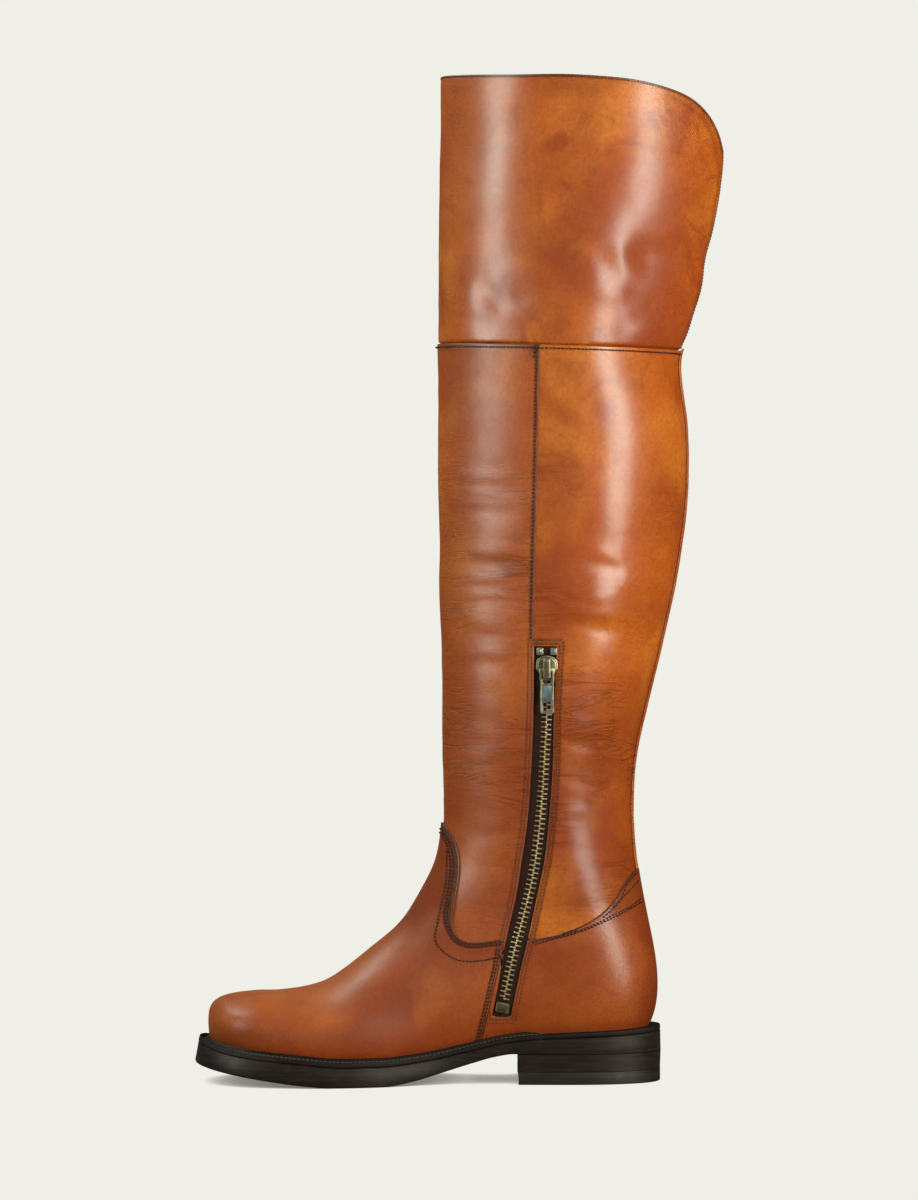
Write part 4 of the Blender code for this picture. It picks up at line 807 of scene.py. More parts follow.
LINING = plain_finish("lining leather", (30.0, 4.0, 0.6), linear(196, 176, 160), linear(214, 198, 184),
                      (900.0, 3.0, 0.6), (0.00008, 0.6), Roughness=0.75)
EDGE = plain_finish("cut edge", (700.0, 4.0, 0.7), linear(52, 30, 22), linear(92, 58, 42),
                    (1500.0, 2.0, 0.5), (0.00005, 0.7), Roughness=0.5, Coat_Weight=0.15)
cuff_leather = waxed_leather("waxed leather cuff", rows={"edge_mm": (1.2,)}, coat_rough=0.26, patches=0.85)
front_leather = waxed_leather("waxed leather front", PANEL_TAN, {"edge_mm": (2.0,), "zip_mm": (1.6, 3.8)},
                              groove_width=1.3, seed=0.31, coat_rough=0.34)
back_leather = waxed_leather("waxed leather back", rows={"zip_mm": (1.8, 3.9)}, seed=0.63)
vamp_leather = waxed_leather("waxed leather vamp", FOOT_TAN, {"edge_mm": (0.8, 2.4), "seam_mm": (1.0, 2.8)},
                             gloss=0.38, wrinkles=0.3, seed=0.12, coat_rough=0.4)
counter_leather = waxed_leather("waxed leather counter", FOOT_TAN, gloss=0.36, wrinkles=0.3, seed=0.47,
                                coat_rough=0.30)
strip_leather = waxed_leather("waxed leather strip", PANEL_TAN, seed=0.9)
print("finishes:", len(bpy.data.materials))

# %% [markdown]
# ## Shaft panels
# The shaft is two panels sewn together down both sides: a front one, which laps over the back one by the thickness
# of a skived edge. On the inner side both stop at the zip. Below, both run on under the vamp and the counter, as
# the lining of the foot.

# %% Shaft panels
WINDOW_SEAM_Z = 258.0  # below this the zip's front edge takes the side seam's place
PANEL_EDGE_LOW = 262.0  # and below this the front panel has no edge of its own
LAP, LAP_WIDTH = 0.5, 26.0  # how far the front panel rises towards the seam, and over what width
OUTER_SEAM = np.array([(44.9, WINDOW_SEAM_Z), (34.0, 60.0), (24.0, 20.0)])


def behind_seam(points):
    """How far a place is behind the shaft's side seam, and behind the zip's front edge lower down."""
    x, y, z = np.moveaxis(points, -1, 0)
    low = np.where(y < 0, across(WINDOW_FRONT, z), across(OUTER_SEAM, z))
    return x - np.where(z > WINDOW_SEAM_Z, across(SHAFT_SEAM, z), low)


def panel_edge(points):
    """How far a place is from the front panel's cut edges: the slanting one under the cuff and the side seam."""
    x, _, z = np.moveaxis(points, -1, 0)
    front_x, front_z, back_x, back_z = table[list(PLACE).index("shaft seam"), :4]
    top = front_z - z - (front_z - back_z) * (x - front_x) / (back_x - front_x)
    return least(top, np.where(z > PANEL_EDGE_LOW, -behind_seam(points), FAR))


def burnish_and_welt_shade(points):
    """More burnishing towards the sole, at the heel and round the ankle, and a little that comes and goes. The last 8
    mm above the welt are darkened further, as painted shade where the leather meets the welt.
    """
    x, _, z = np.moveaxis(points, -1, 0)
    high = z - welt_top(x)
    # the second term is painted shade in the last 8 mm above the welt, where the leather meets it
    low = 0.36 * (1 - smooth_step(high, 2, 34)) + 0.3 * (1 - smooth_step(high, 1.5, 8))
    heel = 0.1 * smooth_step(x, 45, 60) * (1 - smooth_step(z, 104, 150))
    ankle = (0.14 + 0.16 * smooth_step(x, 20, 40)) * smooth_step(z, 92, 112) * (1 - smooth_step(z, 215, 255))
    return np.clip(low + heel + ankle + 0.10 * soft_noise(points, 30, 5), 0, 1)


def slack(points):
    """Where the leather wrinkles: most on the shin and the ankle, hardly on the cuff and the foot."""
    x, _, z = np.moveaxis(points, -1, 0)
    front = 1 - smooth_step(x, 45, 90) * smooth_step(z, 250, 280)
    shaft = smooth_step(z, 70, 110) * (1 - 0.85 * smooth_step(z, 362, 398))
    bends = 1 + 0.8 * bell(z, 322, 34) * front + 0.7 * bell(z, 195, 38)
    return shaft * bends * (0.55 + 0.45 * front) * (0.7 + 0.3 * soft_noise(points, 40, 4))


shaft_rows = np.concatenate([rows_from(SEAM_AT, FOOT_ROWS[0], 1.75)[:-1], FOOT_ROWS])
fields = {"edge_mm": panel_edge, "zip_mm": window_distance, "burnish_and_welt_shade": burnish_and_welt_shade, "slack": slack}
in_front = on_form(lambda p: least(-behind_seam(p), above_sole(p)))
in_back = on_form(lambda p: least(behind_seam(p) + 1.0, above_sole(p), window_distance(p)))
front_panel = make_sheet(
    "front_panel", cut_sheet(shaft_rows, round_from(-2.1, 2.1, 2.0), in_front),
    on_form(lambda p: LAP * smooth_step(behind_seam(p), -LAP_WIDTH, 0)), -LEATHER, (front_leather, LINING, EDGE),
    fields,
)
back_panel = make_sheet(
    "back_panel", cut_sheet(shaft_rows, round_from(0.8, 2 * PI - 0.8, 2.0), in_back), 0.0, -LEATHER,
    (back_leather, LINING, EDGE), {**fields, "edge_mm": lambda p: 50.0},
)

# %% [markdown]
# ## Cuff
# Above the knee the boot widens into a cuff, one plain panel that wraps the leg and is left open at the back, where
# its corners are rounded. Its lower edge is tucked inside the shaft. Its topline is stitched close to the edge, and
# the facing behind it, a strip of leather that stiffens the rim, prints through as a faint line.

# %% Cuff
SLIT_TOP, SLIT_LOW = 9.0, 0.4  # half the gap at the back
SLIT_FOOT_Z, SLIT_HIGH = 443.0, 184.0
CUFF_TUCK, CUFF_THICK = 9.0, 1.8


def rim_distance(points):
    """How far a place is below the cuff's topline and inside its free back edges."""
    x, y, z = np.moveaxis(points, -1, 0)
    slit = SLIT_LOW + (SLIT_TOP - SLIT_LOW) * np.clip((z - SLIT_FOOT_Z) / SLIT_HIGH, 0, 1.2)
    return least(-side_distance(points, CUFF_EDGE), np.where(x > 60, np.abs(y) - slit, FAR))


def cuff_depth(along, angle):
    tucked = smooth_step(along, SEAM_AT - 1.6, SEAM_AT + 0.2)
    return CUFF_DEPTH * (1 - tucked) - (LEATHER + LAYER_GAP) * tucked


def cuff_burnish(points):
    """Darker smudges under the topline and along the back corner, where the facing prints through."""
    x, _, z = np.moveaxis(points, -1, 0)
    print_through = bell(rim_distance(points), 5.4, 1.5) * smooth_step(x, 118, 140)
    smudge = bell(x, -1, 9) * bell(z, 598, 3) + bell(x, 70, 20) * bell(z, 596, 5)
    shin = (1 - smooth_step(x, -18, 4)) * smooth_step(z, 470, 500)
    return np.clip(0.45 * print_through + 0.3 * smudge + 0.25 * shin, 0, 0.7)


cuff_rows = np.concatenate([
    rows_from(-3.0, SEAM_AT - 1.8, 1.75), SEAM_AT - np.array([1.2, 0.6, 0.0]),
    rows_from(SEAM_AT + 1.5, SEAM_AT + CUFF_TUCK, 2.5),
])
cuff = make_sheet(
    "cuff_panel", cut_sheet(cuff_rows, round_from(-PI, PI, 1.9), on_form(rim_distance)),
    cuff_depth, lambda a, b: cuff_depth(a, b) - CUFF_THICK, (cuff_leather, LINING, EDGE),
    {"edge_mm": rim_distance, "burnish_and_welt_shade": cuff_burnish, "slack": lambda p: 0.14},
)

# %% [markdown]
# ## Vamp and counter
# The vamp covers the foot and climbs the instep in a curved tongue. The counter cups the heel and rises to a point
# at the back seam. Both lie over the shaft, so their cut edges stand proud and show as a dark line. They meet at a
# seam under the zip.

# %% Vamp and counter
BINDING_Z, BINDING_WIDTH = (84, 91, 101, 152), (0.4, 0.7, 2.5, 2.2)


def past_strip(points):
    """How far a place is inside the rough strip that binds the vamp's edge. The strip thins out lower down."""
    return vamp_edge(points) - np.interp(points[..., 2], BINDING_Z, BINDING_WIDTH)


# Burnishing of the foot, including the painted shade just above the welt.
def vamp_burnish_and_welt_shade(points):
    x, _, z = np.moveaxis(points, -1, 0)
    toe = 0.16 * (1 - smooth_step(x, -160, -146))
    shin = 0.45 * smooth_step(z, 58, 92) * (1 - smooth_step(vamp_edge(points), 14, 34) * 0.3)
    middle = 0.22 * bell(x, -34, 22) * bell(z, 48, 14)
    instep = 0.13 * bell(x, -68, 34) * smooth_step(z, 42, 60)
    return np.clip(burnish_and_welt_shade(points) + toe + shin + middle + instep, 0, 0.8)


# Burnishing of the counter, including the painted shade just above the welt.
def counter_burnish_and_welt_shade(points):
    return np.clip(burnish_and_welt_shade(points) + 0.4 * smooth_step(points[..., 0], 100, 120), 0, 0.8)


in_vamp = on_form(lambda p: least(vamp_edge(p), seam_distance(p), above_sole(p), window_distance(p)))
in_counter = on_form(
    lambda p: least(counter_edge(p), -seam_distance(p) - 0.35, above_sole(p), window_distance(p))
)
foot_fields = {**fields, "edge_mm": past_strip, "seam_mm": seam_distance, "burnish_and_welt_shade": vamp_burnish_and_welt_shade}
vamp = make_sheet(
    "vamp_leather", cut_sheet(FOOT_ROWS, round_from(-PI, PI, 1.5, 45.0), in_vamp), OVERLAY[1], OVERLAY[0],
    (vamp_leather, LINING, EDGE), foot_fields,
)
counter = make_sheet(
    "counter_leather", cut_sheet(FOOT_ROWS, round_from(0.6, 2 * PI - 0.6, 1.5, 45.0), in_counter), OVERLAY[1],
    OVERLAY[0], (counter_leather, LINING, EDGE),
    {**foot_fields, "edge_mm": counter_edge, "burnish_and_welt_shade": counter_burnish_and_welt_shade},
)

# %% [markdown]
# ## Back strip
# The two halves of the back panel are closed down the middle of the calf by a narrow strip, folded over the seam
# and stitched along both of its edges.

# %% Back strip
STRIP_WIDTH, STRIP_THICK = 9.0, 1.1


def in_strip(along, angle):
    side = np.abs(skin(along, angle)[..., 1])
    return least(STRIP_WIDTH / 2 - side, along - SEAM_AT + 1.6, PLACE["heel high"] + 3.0 - along)


strip_cut = cut_sheet(rows_from(SEAM_AT - 4, PLACE["heel high"], 1.75), np.linspace(PI - 0.2, PI + 0.2, 24), in_strip)
back_strip = make_sheet(
    "back_strip_leather", strip_cut,
    on_form(lambda p: LAYER_GAP + STRIP_THICK - 0.5 * smooth_step(np.abs(p[..., 1]), 3.2, 4.5)), LAYER_GAP,
    (strip_leather, LINING, strip_leather), {"edge_mm": lambda p: 9.0, "burnish_and_welt_shade": lambda p: 0.1, "slack": slack},
)

# %% [markdown]
# ## Stitches
# A row of stitches on a boot is a lockstitch: the thread lies on the leather for two millimetres, dips through a
# hole and comes up again. Drawing the thread as a texture looks painted. Here every row is a line on the finished
# leather, and a Geometry Nodes tree walks along it and lays one small, slightly turned capsule of thread per stitch.
# Rows that run beside a cut edge are found as lines of equal distance to that edge, others are drawn in side view.

# %% Find rows on the form
side_rows, side_angles = np.linspace(0.0, TOE_BASE, 420), np.linspace(0.02, PI - 0.02, 110)
side_points = skin(side_rows[:, None], side_angles[None, :]).reshape(-1, 3)
side_quads = quads_of(np.arange(len(side_points)).reshape(len(side_rows), len(side_angles)))
side_triangles = np.concatenate([side_quads[:, :3], side_quads[:, [0, 2, 3]]])
inner_half = BVHTree.FromPolygons(side_points.tolist(), side_triangles.tolist())


def place_of(x, z, outer=False):
    """(along, angle) of the place seen at x, z from the inner side, or from the outer side of the same pattern."""
    hit, _, face, _ = inner_half.ray_cast(Vector((x, -300.0, z)), Vector((0.0, 1.0, 0.0)))
    if hit is None:
        return None
    a, b, c = side_points[side_triangles[face]]
    u, v = np.linalg.lstsq(np.column_stack([b - a, c - a]), np.array(hit) - a, rcond=None)[0]
    rows, columns = np.divmod(side_triangles[face], len(side_angles))
    weight = np.array([1 - u - v, u, v])
    angle = side_angles[columns] @ weight
    return side_rows[rows] @ weight, (2 * PI - angle if outer else angle)


def drawn_row(points, outer=False, step=1.0):
    """A row drawn in side view as places on the form."""
    line = smooth_line(*points) if len(points) > 2 else np.asarray(points, float)
    run = run_of(line)
    even = read_off(np.linspace(0, run[-1], max(2, int(round(run[-1] / step)) + 1)), run, line)
    found = [place_of(x, z, outer) for x, z in even]
    return np.array([place for place in found if place is not None])


SHORTEST_ROW = 8.0


def level_rows(along, angle, field, levels, inside):
    """The lines on the form where field(points) equals a level and inside(along, angle) holds."""
    a, b = np.meshgrid(along, angle, indexing="ij")
    distance, ok = field(skin(a, b)), inside(a, b) > 0
    index = np.arange(a.size).reshape(a.shape)
    rows = []
    for level in levels:
        value = distance - level
        positive = value > 0
        crossings, joined = {}, {}
        active = positive.ravel()[quads_of(index)].sum(1).reshape(len(along) - 1, -1)
        active = (active % 4 != 0) & ok[:-1, :-1] & ok[1:, 1:]
        for i, j in zip(*np.nonzero(active)):
            ring = [index[i, j], index[i + 1, j], index[i + 1, j + 1], index[i, j + 1]]
            found = []
            for p, q in zip(ring, ring[1:] + ring[:1]):
                if positive.flat[p] == positive.flat[q]:
                    continue
                found.append((min(p, q), max(p, q)))
                if found[-1] not in crossings:
                    t = value.flat[p] / (value.flat[p] - value.flat[q])
                    crossings[found[-1]] = [v.flat[p] + (v.flat[q] - v.flat[p]) * t for v in (a, b)]
            for p, q in zip(found[::2], found[1::2]):
                joined.setdefault(p, []).append(q)
                joined.setdefault(q, []).append(p)
        left = set(joined)
        while left:
            ends = [key for key in left if len(joined[key]) == 1]
            here = ends[0] if ends else next(iter(left))
            chain = []
            while here is not None:
                chain.append(crossings[here])
                left.discard(here)
                here = next((key for key in joined[here] if key in left), None)
            if run_of(skin(*np.array(chain).T))[-1] > SHORTEST_ROW:
                rows.append(np.array(chain))
    return rows


print("places on the inner side to draw on:", len(side_quads))

# %% The stitching tree
def path_tree(name, settings, copied):
    """A tree that lays copies of a shape along paths, a pitch apart, turned with the path and away from the leather.
    settings are its own inputs. copied(node, given, turn) makes the shape, and what else its copies need."""
    tree = bpy.data.node_groups.new(name, "GeometryNodeTree")
    for label, kind, value in (("Paths", "Geometry", None), *settings, ("Finish", "Material", None)):
        socket = tree.interface.new_socket(label, in_out="INPUT", socket_type="NodeSocket" + kind)
        if value is not None:
            socket.default_value = value
    tree.interface.new_socket("Copies", in_out="OUTPUT", socket_type="NodeSocketGeometry")
    node = lambda *parts, **options: add(tree, *parts, **options)
    given = tree.nodes.new("NodeGroupInput").outputs
    curves = node("GeometryNodeMeshToCurve", {"Mesh": given["Paths"]})
    even = node("GeometryNodeResampleCurve", {"Curve": curves, "Length": given["Pitch"]}, mode="LENGTH")
    away = node("GeometryNodeInputNamedAttribute", {"Name": "away"}, data_type="FLOAT_VECTOR")
    turn = node("FunctionNodeAxesToRotation", (node("GeometryNodeInputTangent"), away),
                primary_axis="X", secondary_axis="Z")
    inputs = {"Points": even, "Rotation": turn, **copied(node, given, turn)}
    real = node("GeometryNodeRealizeInstances", {"Geometry": node("GeometryNodeInstanceOnPoints", inputs)})
    done = node("GeometryNodeSetMaterial", {"Geometry": real, "Material": given["Finish"]})
    node("NodeGroupOutput", (done,))
    return tree


def stitch(node, given, turn):
    """A capsule of thread, each turned a little more or less than the one before."""
    less = node("ShaderNodeMath", (given["Turn"], -1.0), operation="MULTIPLY")
    jitter = node("FunctionNodeRandomValue", {2: less, 3: given["Turn"], "Seed": given["Seed"]}, 1, data_type="FLOAT")
    euler = node("FunctionNodeEulerToRotation", (node("ShaderNodeCombineXYZ", {"Z": jitter}),))
    bead = node("GeometryNodeMeshUVSphere", {"Segments": 6, "Rings": 4, "Radius": 0.5})
    bead = node("GeometryNodeSetShadeSmooth", {"Geometry": bead})
    thick = given["Thickness"]
    return {
        "Instance": node("GeometryNodeTransform", {"Geometry": bead, "Rotation": (0.0, PI / 2, 0.0)}),
        "Rotation": node("FunctionNodeRotateRotation", (turn, euler), rotation_space="LOCAL"),
        "Scale": node("ShaderNodeCombineXYZ", (given["Length"], thick, thick)),
    }


STITCH_TREE = path_tree("stitch_rows", (
    ("Pitch", "Float", 0.002), ("Length", "Float", 0.0016), ("Thickness", "Float", 0.0006), ("Turn", "Float", 0.12),
    ("Seed", "Int", 3),
), stitch)


def run_tree(name, paths, tree, finish, **settings):
    """Applies a tree to paths and keeps the result as a plain mesh. Each path is points in mm and the direction
    away from the leather at each. Settings go to the tree's inputs, found by name and set by identifier."""
    points, away = (np.concatenate(part) for part in zip(*paths))
    starts = np.cumsum([0] + [len(line) for line, _ in paths])
    mesh = bpy.data.meshes.new(name)
    edges = [(k, k + 1) for start, end in zip(starts, starts[1:]) for k in range(start, end - 1)]
    mesh.from_pydata(points * MM, edges, [])
    mesh.attributes.new("away", "FLOAT_VECTOR", "POINT").data.foreach_set("vector", away.astype(np.float32).ravel())
    path = bpy.data.objects.new(name, mesh)
    scene.collection.objects.link(path)
    modifier = path.modifiers.new("tree", "NODES")
    modifier.node_group = tree
    for item in tree.interface.items_tree:
        if item.name in settings or item.name == "Finish":
            modifier[item.identifier] = settings.get(item.name, finish)
    mesh = bpy.data.meshes.new_from_object(path.evaluated_get(bpy.context.evaluated_depsgraph_get()))
    bpy.data.objects.remove(path, do_unlink=True)
    mesh.name = name
    return new_piece(name, mesh)


# Sizes of stitches in mm: from one to the next, how long the thread shows, how thick it is.
CUFF_STITCH, SEAM_STITCH, STRIP_STITCH = (2.0, 1.4, 0.7), (2.4, 1.9, 1.15), (2.2, 1.6, 0.8)
ZIP_STITCH, VAMP_STITCH, COUNTER_STITCH = (2.0, 1.4, 0.85), (2.2, 1.75, 1.15), (2.2, 1.75, 1.05)
TACK_STITCH = (2.4, 2.3, 1.2)


def stitch_rows(name, rows, depth, finish, size):
    """Sews rows of (along, angle) places at a depth of the form, as one plain mesh."""
    pitch, length, thickness = (value * MM for value in size)
    paths = []
    for row in rows:
        run = run_of(skin(*row.T))
        line = read_off(np.linspace(0, run[-1], max(2, int(run[-1] / 0.8))), run, row)
        for _ in range(3):  # smooths the row's small jags
            line[1:-1] = (line[:-2] + 2 * line[1:-1] + line[2:]) / 4
        paths.append((at_depth(*line.T, depth), outward(*line.T)))
    return run_tree(name, paths, STITCH_TREE, finish, Pitch=pitch, Length=length, Thickness=thickness, Turn=0.10)


def thread(name, colour, shine=0.45):
    """Waxed thread: a fine twist along each stitch."""
    dark = (*(0.5 * part for part in colour[:3]), 1.0)
    return plain_finish(name, (900.0, 2.0), colour, dark, (2600.0, 1.0), (0.00005, 0.7), Roughness=shine,
                        Specular_IOR_Level=0.2)


THREAD, THREAD_FOOT = thread("thread dark brown", linear(66, 30, 20)), thread("thread foot", linear(48, 21, 14))
# The back strip's thread is a light tan, a painted highlight for the glints along its stitches.
THREAD_PAINTED_GLINT, THREAD_ZIP = thread("thread painted glint", linear(205, 142, 92)), thread("thread red brown", linear(92, 42, 24))

# %% Rows on the shaft and the cuff
shaft_grid = rows_from(SEAM_AT, PLACE["heel seat"], 1.5)
ROUND, BACK_ROUND = np.linspace(-PI, PI, 330), np.linspace(0.0, 2 * PI, 330)
SEAM_SEWN_TO = 268.0  # the side seam's stitches end at this height where they meet the zip


def bare_shaft(a, b):
    """Above the vamp and the counter, off the zip, and on its inner side above the zip alone."""
    p = skin(a, b)
    seam = np.where((np.sin(b) > 0) & (p[..., 2] < SEAM_SEWN_TO), -1, 1)
    return least(-vamp_edge(p), -counter_edge(p), window_distance(p) - 0.5, seam)


rows = level_rows(rows_from(-2.0, SEAM_AT - 2, 1.5), ROUND, rim_distance, (1.2,), lambda a, b: np.ones(a.shape))
stitches_cuff = stitch_rows("stitches_cuff", rows, CUFF_DEPTH + 0.05, THREAD, CUFF_STITCH)
rows = [np.column_stack([np.full(400, SEAM_AT + 2.1), np.linspace(0.0, 2 * PI, 400)])]
rows += level_rows(shaft_grid, BACK_ROUND, lambda p: -behind_seam(p), (2.0,), bare_shaft)
stitches_seam = stitch_rows("stitches_shaft_seam", rows, 0.85, THREAD, SEAM_STITCH)
# the back strip's stitches use the light tan thread, a painted highlight
rows = level_rows(shaft_grid, np.linspace(PI - 0.2, PI + 0.2, 40), lambda p: np.abs(p[..., 1]), (3.1,),
                  lambda a, b: PLACE["heel high"] - 1 - a)
stitches_strip = stitch_rows("stitches_back_strip", rows, 1.3, THREAD_PAINTED_GLINT, STRIP_STITCH)

# %% Rows round the zip
BESIDE_ZIP = (1.4, 3.5)
rows = level_rows(rows_from(PLACE["shin"] - 40, PLACE["waist"], 1.2), np.linspace(0.4, 2.4, 190), window_distance,
                  BESIDE_ZIP, on_form(lambda p: least(p[..., 2] - 36.0, -vamp_edge(p))))
stitches_zip = stitch_rows("stitches_zip", rows, 0.3, THREAD_ZIP, ZIP_STITCH)

# %% Rows on the foot
VAMP_OUTER_ROW = (
    (-6, 138.5), (-6.5, 125.2), (-6.9, 121), (-9.1, 110.7), (-11.4, 99.8), (-13.5, 90.8), (-13.7, 85.9), (-12, 82.3),
    (-7.8, 78.7), (-2.4, 75.4), (3, 74.2), (9.6, 74.2), (17.4, 75.4), (24.6, 77.2),
)
COUNTER_ROWS = (
    ((106, 125), (100, 119), (96.6, 111.6), (92.6, 106.2), (86.4, 100.5)),
    ((107, 120.6), (104.6, 118.3), (100.8, 114.5), (96.2, 110.2), (92, 106.6)),
    ((108.1, 109.6), (101.4, 105.5), (93.1, 101.8), (88.1, 99.5), (79.9, 95.8), (72.7, 93.1)),
    ((109.3, 107.9), (102.7, 104.9), (96, 101.6), (88.1, 98.2), (79.9, 94.8), (71.4, 91.8), (64.7, 89.8),
     (54.7, 87.4), (46.3, 84.9)),
    ((62.3, 90.1), (55.7, 88.7), (46.6, 86.4), (44.4, 85.7)),
)
foot_grid, foot_round = rows_from(PLACE["ankle high"] - 20, TOE_BASE, 1.3), np.linspace(-PI, PI, 300)
bare_foot = lambda p: least(above_sole(p) - 4.0, window_distance(p) - 0.8)
rows = level_rows(foot_grid, np.linspace(0.3, 2.8, 240), window_distance, BESIDE_ZIP,
                  on_form(lambda p: least(-seam_distance(p) - 0.6, counter_edge(p) - 1.0)))
stitches_zip_low = stitch_rows("stitches_zip_low", rows, OVERLAY[1] + 0.2, THREAD_ZIP, ZIP_STITCH)
rows = level_rows(foot_grid, foot_round, past_strip, (0.8, 2.4),
                  on_form(lambda p: least(seam_distance(p), bare_foot(p))))
rows += [drawn_row(VAMP_OUTER_ROW), drawn_row(VAMP_OUTER_ROW, outer=True)]
rows += level_rows(foot_grid, foot_round, seam_distance, (1.0, 2.8),
                   on_form(lambda p: least(vamp_edge(p) - 5, bare_foot(p))))
stitches_vamp = stitch_rows("stitches_vamp", rows, OVERLAY[1] + 0.25, THREAD_FOOT, VAMP_STITCH)
SIDE_BY_SIDE = (-0.5, 0.0, 0.5)
rows = [drawn_row(((63.0, 90.9 + k), (70.0, 92.9 + k))) for k in SIDE_BY_SIDE]
rows += [drawn_row(((46.0 + k, 442.4), (45.6 + k, 436.6))) for k in SIDE_BY_SIDE]
stitches_tacks = stitch_rows("stitches_bar_tacks", rows, OVERLAY[1] + 0.35, THREAD, TACK_STITCH)
rows = [drawn_row(row, outer) for row in COUNTER_ROWS for outer in (False, True)]
stitches_counter = stitch_rows("stitches_counter", rows, OVERLAY[1] + 0.2, THREAD_FOOT, COUNTER_STITCH)

# %% [markdown]
# ## Welted sole
# The upper is sewn to a welt, a strip of leather that runs round the foot and carries the outsole. A raised bead,
# the rand, closes the joint between leather and welt round the forefoot and ends ahead of the heel. Every layer
# takes its outline from the line where the leather meets the welt, moved outwards, so the layers stay parallel, as
# they do after the sole's edge is trimmed in one pass. Each layer is a stack of rings with rounded corners.

# %% Outline of the foot
margin = level_curve(
    (-160, 6.6), (-120, 6.2), (-60, 5.9), (-15, 4.6), (15, 3.7), (60, 3.4), (95, 4.4), (117, 7),
)
flare = level_curve((-160, 2.6), (-120, 1.6), (-20, 1), (25, 0.4), (122, 0.3))
sole_bottom = level_curve(
    (-162, 13.6), (-154, 11.2), (-136, 7.6), (-113, 3.9), (-91, 1.1), (-76, 0), (-46, 0), (-28, 2.6), (-9.6, 7.6),
    (9, 13.2), (22, 16.8), (33, 18.4), (122, 18.4),
)
HALF_OUTLINE = 150  # points along each half of an outline
FOOT_CENTRE = np.array([-15.0, 0.0])


def outline_at(depth, height):
    """The plan outline of the form at a depth, where it crosses height(x). It starts at the back, runs along the
    inner side to the toe and returns along the outer side."""
    toe = TOE_BASE + TOE_LENGTH * np.sin(np.linspace(0.02, 0.4999 * PI, 60))
    along = np.concatenate([np.linspace(PLACE["ankle"], TOE_BASE, 300), toe])[:, None]
    angle = np.linspace(0, 2 * PI, 361)[None, :]
    points = skin(along, angle) + outward(along, angle) * depth
    above = points[..., 2] - height(points[..., 0])
    found = []
    for axis in (0, 1):
        (first, second), (start, end) = (
            [np.take(grid, range(k, above.shape[axis] - 1 + k), axis) for k in (0, 1)] for grid in (above, points)
        )
        crossed = first * second < 0
        share = (first[crossed] / (first[crossed] - second[crossed]))[:, None]
        found.append(start[crossed] + (end[crossed] - start[crossed]) * share)
    found = np.concatenate(found)[:, :2] - FOOT_CENTRE
    turn = np.arctan2(-found[:, 1], found[:, 0]) % (2 * PI)
    order = np.argsort(turn)
    even = np.linspace(0, 2 * PI, 1081)
    reach = np.interp(even, turn[order], np.hypot(*found[order].T), period=2 * PI)
    reach = np.convolve(np.pad(reach[:-1], 4, "wrap"), np.ones(9) / 9, "valid")
    reach = np.append(reach, reach[0])
    line = FOOT_CENTRE + np.stack([reach * np.cos(even), -reach * np.sin(even)], axis=-1)
    toe_tip = int(np.argmin(line[:, 0]))
    halves = []
    for part in (line[:toe_tip + 1], line[toe_tip:]):
        run = run_of(part)
        halves.append(read_off(np.linspace(0, run[-1], HALF_OUTLINE + 1)[:-1], run, part))
    return np.concatenate(halves)


def spread(outline, distance):
    """The outline moved outwards, square to itself."""
    ahead = np.roll(outline, -1, axis=0) - np.roll(outline, 1, axis=0)
    ahead /= np.linalg.norm(ahead, axis=1, keepdims=True)
    outwards = np.stack([ahead[:, 1], -ahead[:, 0]], axis=-1)
    if (outwards * (outline - outline.mean(axis=0))).sum() < 0:
        outwards = -outwards
    return outline + outwards * np.broadcast_to(distance, len(outline))[:, None]


def rings_of(outline, steps):
    """Rings round an outline. Each step is how far outwards, and how high."""
    return [np.column_stack([spread(outline, aside), np.broadcast_to(z, len(outline))]) for aside, z in steps]


def stacked(name, rings, finish, caps=True, sharp=38):
    """A closed solid from stacked rings whose halves pair up, so that its caps are ruled straight across."""
    count = len(rings[0])
    faces = []
    for k in range(len(rings) - caps):
        low, high = k * count, (k + 1) % len(rings) * count
        faces += [(low + j, low + (j + 1) % count, high + (j + 1) % count, high + j) for j in range(count)]
    for start in (0, (len(rings) - 1) * count) if caps else ():
        middle = start + count // 2
        faces += [(start, start + 1, start + count - 1), (middle - 1, middle, middle + 1)]
        faces += [
            (start + j, start + j + 1, start + count - j - 1, start + count - j) for j in range(1, count // 2 - 1)
        ]
    mesh = bpy.data.meshes.new(name)
    mesh.from_pydata(np.concatenate(rings) * MM, [], faces)
    mesh.materials.append(finish)
    finish_mesh(mesh, 1e-7, sharp=sharp)
    return new_piece(name, mesh)


leather_line = outline_at(OVERLAY[1], welt_top)
print("foot outline", leather_line.min(0).round(1), leather_line.max(0).round(1))

# %% [markdown]
# ## Black edge finishes
# The sole's edge is trimmed, inked nearly black, waxed and ironed, which leaves a satin shine with fine streaks
# along the edge. The heel is built up of leather layers that stay just visible under the ink. The top lift is
# rubber, a little duller and browner.

